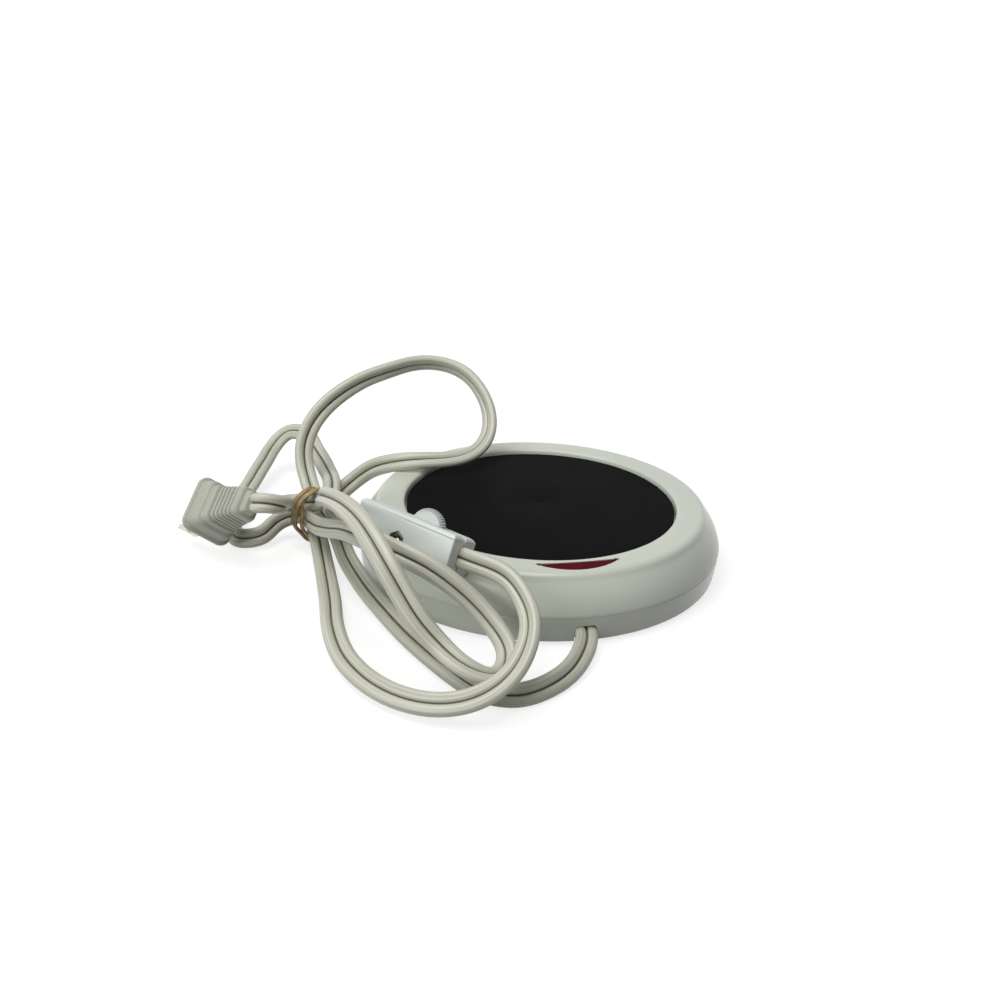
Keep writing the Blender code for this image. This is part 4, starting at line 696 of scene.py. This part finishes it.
def shell_half(name, sign):
    """The front (-1) or back (1) shell: a block with sloped edges, hollow, with its openings."""
    near, far = sorted((sign * joint_gap * mm, sign * half_deep * mm))
    shell = block(name, (-half_long * mm, near, shell_low * mm), (half_long * mm, far, shell_high * mm))
    for point, normal in slopes:
        choose(shell, "FACE", lambda p: True)
        bpy.ops.mesh.bisect(plane_co=[v * mm for v in point], plane_no=normal, use_fill=True,
                            clear_outer=True)
        bpy.ops.object.mode_set(mode="OBJECT")
    for up in (1, -1):
        round_edges(shell, lambda p: abs(p.x) > (half_long - 0.1) * mm and up * p.z > 4 * mm,
                    end_round * mm, 7)
    round_edges(shell, lambda p: abs(abs(p.y) - half_deep * mm) < 1e-6, face_round * mm, 5)
    near, far = sorted((-sign * past_joint * mm, sign * hollow_deep * mm))
    tools = [block("hollow", (-hollow_long * mm, near, -hollow_tall * mm),
                   (hollow_long * mm, far, hollow_tall * mm))]
    for end in (1, -1):
        low, high = sorted((end * way_in * mm, end * way_out * mm))
        tools.append(block("cord_way", (low, -way_flat * mm, -way_z * mm),
                           (high, way_flat * mm, way_z * mm)))
        for z in (way_z, -way_z):
            rod = cylinder("cord_round", way_r * mm, low - overrun * mm, high + overrun * mm, 38)
            along_x = Matrix.Rotation(math.pi / 2, 4, "Y")
            tools.append(seat(rod, Matrix.Translation((0, 0, z * mm)) @ along_x))
    return cut(shell, *tools, depth_rod("wheel_slot", slot_r, -slot_half, slot_half, wheel_x, wheel_z, 96),
               depth_rod("shank_way", shank_way_r, -past_face, past_face, screw_x, screw_z),
               depth_rod("axle_way", axle_way_r, -axle_half, axle_half, wheel_x, wheel_z))


front_shell = shell_half("switch_front", -1)
cut(front_shell, depth_rod("nut_pocket", nut_pocket_r, -past_face, nut_pocket_deep, screw_x, screw_z, 6))
seat(done(front_shell, 30), switch_frame)
back_shell = shell_half("switch_back", 1)
cut(back_shell, depth_rod("head_pocket", head_pocket_r, head_pocket_deep, past_face, screw_x, screw_z))
seat(done(back_shell, 30), switch_frame)
screw_frame = switch_frame @ Matrix.Translation((screw_x * mm, 0, screw_z * mm)) @ along_y
wheel_frame = switch_frame @ Matrix.Translation((wheel_x * mm, 0, wheel_z * mm)) @ along_y

# Thumbwheel: fine teeth round its rim, and its axle. Two of each tooth's four steps are drawn in
teeth, steps_per_tooth = 46, 4
wheel_steps = teeth * steps_per_tooth
rim_r, tooth_root_share = 6.3, 0.885
wheel = turned("switch_wheel", [
    (0.9, -4.2), (1.2, -4.0), (1.2, -1.6), (4.6, -1.6), (4.9, -1.35), (5.5, -1.35), (5.8, -1.6), (6.1, -1.6),
    (6.6, -1.4), (7.1, -0.95), (7.36, -0.5), (7.4, -0.2), (7.4, 0.2), (7.36, 0.5), (7.1, 0.95), (6.6, 1.4),
    (6.1, 1.6), (1.2, 1.6), (1.2, 4.0), (0.9, 4.2)], steps=wheel_steps)
choose(wheel, "VERT", lambda p: math.hypot(p.x, p.y) > rim_r * mm
       and round(math.atan2(p.y, p.x) / math.tau * wheel_steps) % steps_per_tooth in (2, 3))
bpy.ops.transform.resize(value=(tooth_root_share, tooth_root_share, 1), center_override=(0, 0, 0))
bpy.ops.object.mode_set(mode="OBJECT")
seat(done(wheel, 20), wheel_frame)

# Nut and screw that hold the switch together
nut_r, nut_bore_r, nut_low, nut_high, nut_round = 3.15, 1.45, 4.5, 6.3, 0.18
nut = cylinder("switch_hex_nut", nut_r * mm, nut_low * mm, nut_high * mm, 6)
round_edges(nut, lambda p: True, nut_round * mm, 3)
cut(nut, cylinder("nut_bore", nut_bore_r * mm, 4 * mm, 7 * mm, 48))
seat(done(nut, 30), screw_frame)
shank_r, thread_r, thread_low, pitch = 1.2, 1.02, -1.2, 0.6
slot_long, slot_wide, slot_floor = 1.6, 0.3, -5.6
threads = []
for k in range(12):
    crest_z = thread_low + pitch * k
    threads += [(shank_r, crest_z), (thread_r, crest_z + pitch / 2)]
screw = turned("switch_screw_bolt", [
    (1.9, -6.3), (2.2, -6.1), (2.3, -5.7), (2.3, -4.9), (shank_r, -4.9), *threads, (1.0, 5.9),
    (0.7, 6.05)], steps=48)
cut(screw, *[block("slot", (-x * mm, -y * mm, -7 * mm), (x * mm, y * mm, slot_floor * mm))
             for x, y in ((slot_long, slot_wide), (slot_wide, slot_long))])
seat(done(screw, 30), screw_frame)

# Plug: flange, shoulder, grip of five ribs that taper, and two blades
grip_low, rib_pitch, rib_count = 9.7, 2.3, 5
grip = []
for k in range(rib_count):
    half_x, half_y = 7.0 - 0.25 * k, 6.0 - 0.3 * k
    low = grip_low + rib_pitch * k
    for inward, rise in ((0.85, 0), (0.85, 0.6), (0.15, 0.75), (0, 1.0), (0, 1.8), (0.15, 2.1)):
        grip.append((half_x - inward, half_y - inward, low + rise))
plug = stacked("plug_moulding", 3.6, [
    (10.2, 9.2, -2.5), (10.7, 9.7, -2.38), (10.95, 9.95, -2.0), (11.0, 10.0, -1.5), (11.0, 10.0, -0.8),
    (10.9, 9.9, -0.5), (10.7, 9.7, -0.35), (10.1, 9.1, -0.3), (9.95, 8.95, -0.2), (9.9, 8.9, 0.1),
    (9.15, 8.15, 4.6), (9.0, 8.0, 5.0), (8.75, 7.75, 5.2), (8.0, 7.0, 5.3), (7.85, 6.85, 5.4),
    (7.8, 6.8, 5.7), (7.65, 6.65, 8.6), (7.5, 6.5, 8.95), (7.2, 6.2, 9.1), (6.4, 5.4, 9.2), *grip,
    (5.15, 4.0, 21.2), (5.15, 4.0, 21.7), (5.75, 4.6, 21.9), (5.85, 4.7, 22.2), (5.6, 4.4, 24.6),
    (5.4, 4.2, 25.1), (5.0, 3.8, 25.3), (4.5, 2.8, 25.4), (4.35, 2.6, 25.7), (4.1, 2.3, 27.4),
    (3.95, 2.1, 27.7), (3.7, 1.9, 27.75)])
blade_x, half_thick, blade_tip, blade_root = 6.35, 0.75, -18.5, -1.5
tip_round, edge_round = 1.0, 0.3
hole_r, hole_z, pocket_gap = 1.5, -14.3, 0.3
blades = []
for side_name, x, half_w in (("wide", blade_x, 3.9), ("narrow", -blade_x, 3.2)):
    blade = block("plug_blade_" + side_name + "_brass",
                  ((x - half_thick) * mm, -half_w * mm, blade_tip * mm),
                  ((x + half_thick) * mm, half_w * mm, blade_root * mm))
    round_edges(blade, lambda p: p.z < -18 * mm and abs(p.y) > 3 * mm, tip_round * mm, 4)
    round_edges(blade, lambda p: p.z < -18 * mm, edge_round * mm, 2)
    hole = cylinder("hole", hole_r * mm, (x - 2) * mm, (x + 2) * mm, 40)
    seat(hole, Matrix.Translation((0, 0, hole_z * mm)) @ Matrix.Rotation(math.pi / 2, 4, "Y"))
    cut(blade, hole)
    seat(done(blade, 30), plug_frame)
    blades.append(blade)
    wide, tall = half_thick + pocket_gap, half_w + pocket_gap
    cut(plug, block("pocket", ((x - wide) * mm, -tall * mm, -3 * mm),
                    ((x + wide) * mm, tall * mm, -1.2 * mm)))
seat(done(plug, 38), plug_frame)

# Rubber band: one flat strand wound three times round the bundle. Each turn's row gives the sideways place
# and the lift, in mm, below, at the right, on top, at the left and below again
band_turns = (
    ((-1.9, 0.0), (0.6, 0.0), (3.2, 1.3), (-0.7, 1.0), (-0.2, 0.0)),
    ((-0.2, 0.0), (0.6, 0.2), (0.6, 0.5), (2.6, 0.0), (2.0, 0.3)),
    ((2.0, 0.3), (2.6, 0.1), (-1.9, 0.2), (-2.9, 0.0), (-0.9, 0.0)),
)
turn_shares = (0, 0.27, 0.55, 0.80, 1.0)
band_width, band_thick, band_points, waist_share, waist_width_share = 2.1, 1.15, 28, 0.75, 0.26


def wind_band(name):
    """The strand on its three turns, with a waist along the middle of its flat section."""
    loop = np.array(band_outline[6:] + band_outline[:6])
    middle = loop.mean(0)
    line, normals = [], []
    for turn_places in band_turns:
        for i, point in enumerate(loop):
            share = i / len(loop)
            side, lift = [float(np.interp(share, turn_shares, column)) for column in zip(*turn_places)]
            out = (point - middle) / np.linalg.norm(point - middle)
            a, b = point + out * lift
            offset = band_along * float(a) * mm + Vector((0, 0, float(b) * mm))
            line.append(tuple(band_place + offset + band_normal * side * mm))
            normals.append(tuple(band_along * float(out[0]) + Vector((0, 0, float(out[1])))))
    fine, index = smooth_line(line, 5)
    columns = np.array(normals).T
    faces_out = np.stack([np.interp(index, range(len(normals)), column) for column in columns], 1)
    outline = []
    for k in range(band_points):
        angle = -math.tau * k / band_points
        c, s = math.cos(angle), math.sin(angle)
        waist = 1 - waist_share * math.exp(-(c / waist_width_share) ** 2)
        flat, deep = math.copysign(abs(c) ** 0.7, c), math.copysign(abs(s) ** 0.7, s)
        outline.append((flat * band_width / 2 * mm, deep * band_thick / 2 * waist * mm))
    return sweep(name, fine, faces_out, outline)


band = wind_band("band_wraps")

# Every new piece gets its finish, its body and the CAD nodes it stands for
dress(housing, housing_gloss, "shell_white_gloss", "top_housing")
dress(plate, plate_enamel, "plate_black_satin", "heating_plate")
dress(lens, lens_glaze, "lens_dark_red", "indicator_lens")
dress(front_shell, switch_plastic, "switch_pale_plastic", "switch_front_shell")
dress(back_shell, switch_plastic, "switch_pale_plastic", "switch_back_shell")
dress(wheel, wheel_plastic, "wheel_pale_plastic", "switch_thumbwheel", body="thumbwheel")
dress(nut, nut_steel, "darkened_steel", "switch_nut")
dress(screw, screw_steel, "darkened_steel", "switch_screw")
dress(plug, plug_vinyl, "plug_vinyl_grey", "plug_body")
dress(blades[0], blade_plating, "brass", "plug_blade_wide")
dress(blades[1], blade_plating, "brass", "plug_blade_narrow")
dress(band, band_rubber, "rubber_band_tan", "rubber_band")

# CAD nodes that keep their shape get their finish
for name, finish in (
        ("base_cover", cover_satin), ("heating_element", nichrome_tape), ("mica_disc", mica_flake),
        ("insulation_pad", pad_fibre), ("heat_shield", aluminium_sheet),
        ("terminal_post_left", tinned_copper), ("terminal_post_right", tinned_copper),
        ("crimp_left", tinned_copper), ("crimp_right", tinned_copper), ("lead_left", sleeve_white),
        ("lead_right", sleeve_white), ("shield_screw_1", zinc_steel), ("shield_screw_2", zinc_steel),
        ("shield_screw_3", zinc_steel), ("thermal_fuse", zinc_steel), ("fuse_strap", aluminium_sheet),
        ("housing_screw_1", zinc_steel), ("housing_screw_2", zinc_steel), ("housing_screw_3", zinc_steel),
        ("rubber_foot_1", foot_rubber), ("rubber_foot_2", foot_rubber), ("rubber_foot_3", foot_rubber),
        ("rubber_foot_4", foot_rubber), ("cord_clamp_bar", zinc_steel), ("clamp_screw_left", zinc_steel),
        ("clamp_screw_right", zinc_steel), ("neon_lamp", lamp_glass), ("lamp_resistor", resistor_body),
        ("switch_contact_in", brass_metal), ("switch_contact_out", brass_metal)):
    for place_in in nodes[name].material_slots:
        place_in.material = finish

# Floor and light
floor_size, floor_z = 6, -0.0002
bpy.ops.mesh.primitive_plane_add(size=floor_size, location=(0, 0, floor_z))
floor = bpy.context.object
floor.name = "studio_floor"
paper = shader("studio_paper", (0.35, 0.35, 0.35), 0.9, specular=0.1)
floor.data.materials.append(paper)


def camera_share(tree):
    """One for camera, glossy and transmission rays, nought for the light that falls on the part."""
    path = tree.nodes.new("ShaderNodeLightPath")
    share = path.outputs["Is Camera Ray"]
    for k, ray in enumerate(("Is Glossy Ray", "Is Transmission Ray")):
        larger = tree.nodes.new("ShaderNodeMath")
        larger.operation = "MAXIMUM"
        larger.location = (-700 + 200 * k, 300)
        tree.links.new(share, larger.inputs[0])
        tree.links.new(path.outputs[ray], larger.inputs[1])
        share = larger.outputs["Value"]
    path.location = (-900, 300)
    return share


# The paper shows near white to the camera and still keeps the shadow
tree = paper.node_tree
spot = add_node(paper, "ShaderNodeTexCoord", -900, -100)
reach = add_node(paper, "ShaderNodeVectorMath", -700, -100, operation="LENGTH")
grow = add_node(paper, "ShaderNodeMapRange", -500, -100)
for socket, value in (("From Min", 0.15), ("From Max", 0.8), ("To Min", 0.77), ("To Max", 0.94)):
    grow.inputs[socket].default_value = value
lift = add_node(paper, "ShaderNodeMath", -300, 300, operation="MULTIPLY")
join(paper, spot.outputs["Object"], reach.inputs[0])
join(paper, reach.outputs["Value"], grow.inputs["Value"])
join(paper, grow.outputs["Result"], lift.inputs[1])
join(paper, camera_share(tree), lift.inputs[0])
join(paper, lift.outputs["Value"], tree.nodes["Principled BSDF"].inputs["Emission Strength"])
tree.nodes["Principled BSDF"].inputs["Emission Color"].default_value = (1, 1, 1, 1)

world = bpy.data.worlds.new("studio_world")
bpy.context.scene.world = world
world.use_nodes = True
tree = world.node_tree
around = tree.nodes["Background"]
around.inputs["Color"].default_value = (1, 1, 1, 1)
around.inputs["Strength"].default_value = 0.12
backdrop = tree.nodes.new("ShaderNodeBackground")
backdrop.inputs["Color"].default_value = (1, 1, 1, 1)
backdrop.inputs["Strength"].default_value = 1.0
choice = tree.nodes.new("ShaderNodeMixShader")
tree.links.new(camera_share(tree), choice.inputs["Fac"])
tree.links.new(around.outputs["Background"], choice.inputs[1])
tree.links.new(backdrop.outputs["Background"], choice.inputs[2])
tree.links.new(choice.outputs["Shader"], tree.nodes["World Output"].inputs["Surface"])


def softbox(name, place, size, power):
    """A soft rectangular lamp that aims at the part."""
    data = bpy.data.lights.new(name, "AREA")
    data.shape = "RECTANGLE"
    data.size, data.size_y = size
    data.energy = power
    lamp = bpy.data.objects.new(name, data)
    bpy.context.collection.objects.link(lamp)
    lamp.location = place
    lamp.rotation_euler = (-Vector(place)).to_track_quat("-Z", "Y").to_euler()


softbox("top_softbox", (-0.18, -0.08, 0.76), (0.7, 0.5), 4.4)
softbox("left_softbox", (-0.65, -0.42, 0.38), (0.4, 0.5), 2.5)
bpy.context.scene.view_settings.view_transform = "Standard"
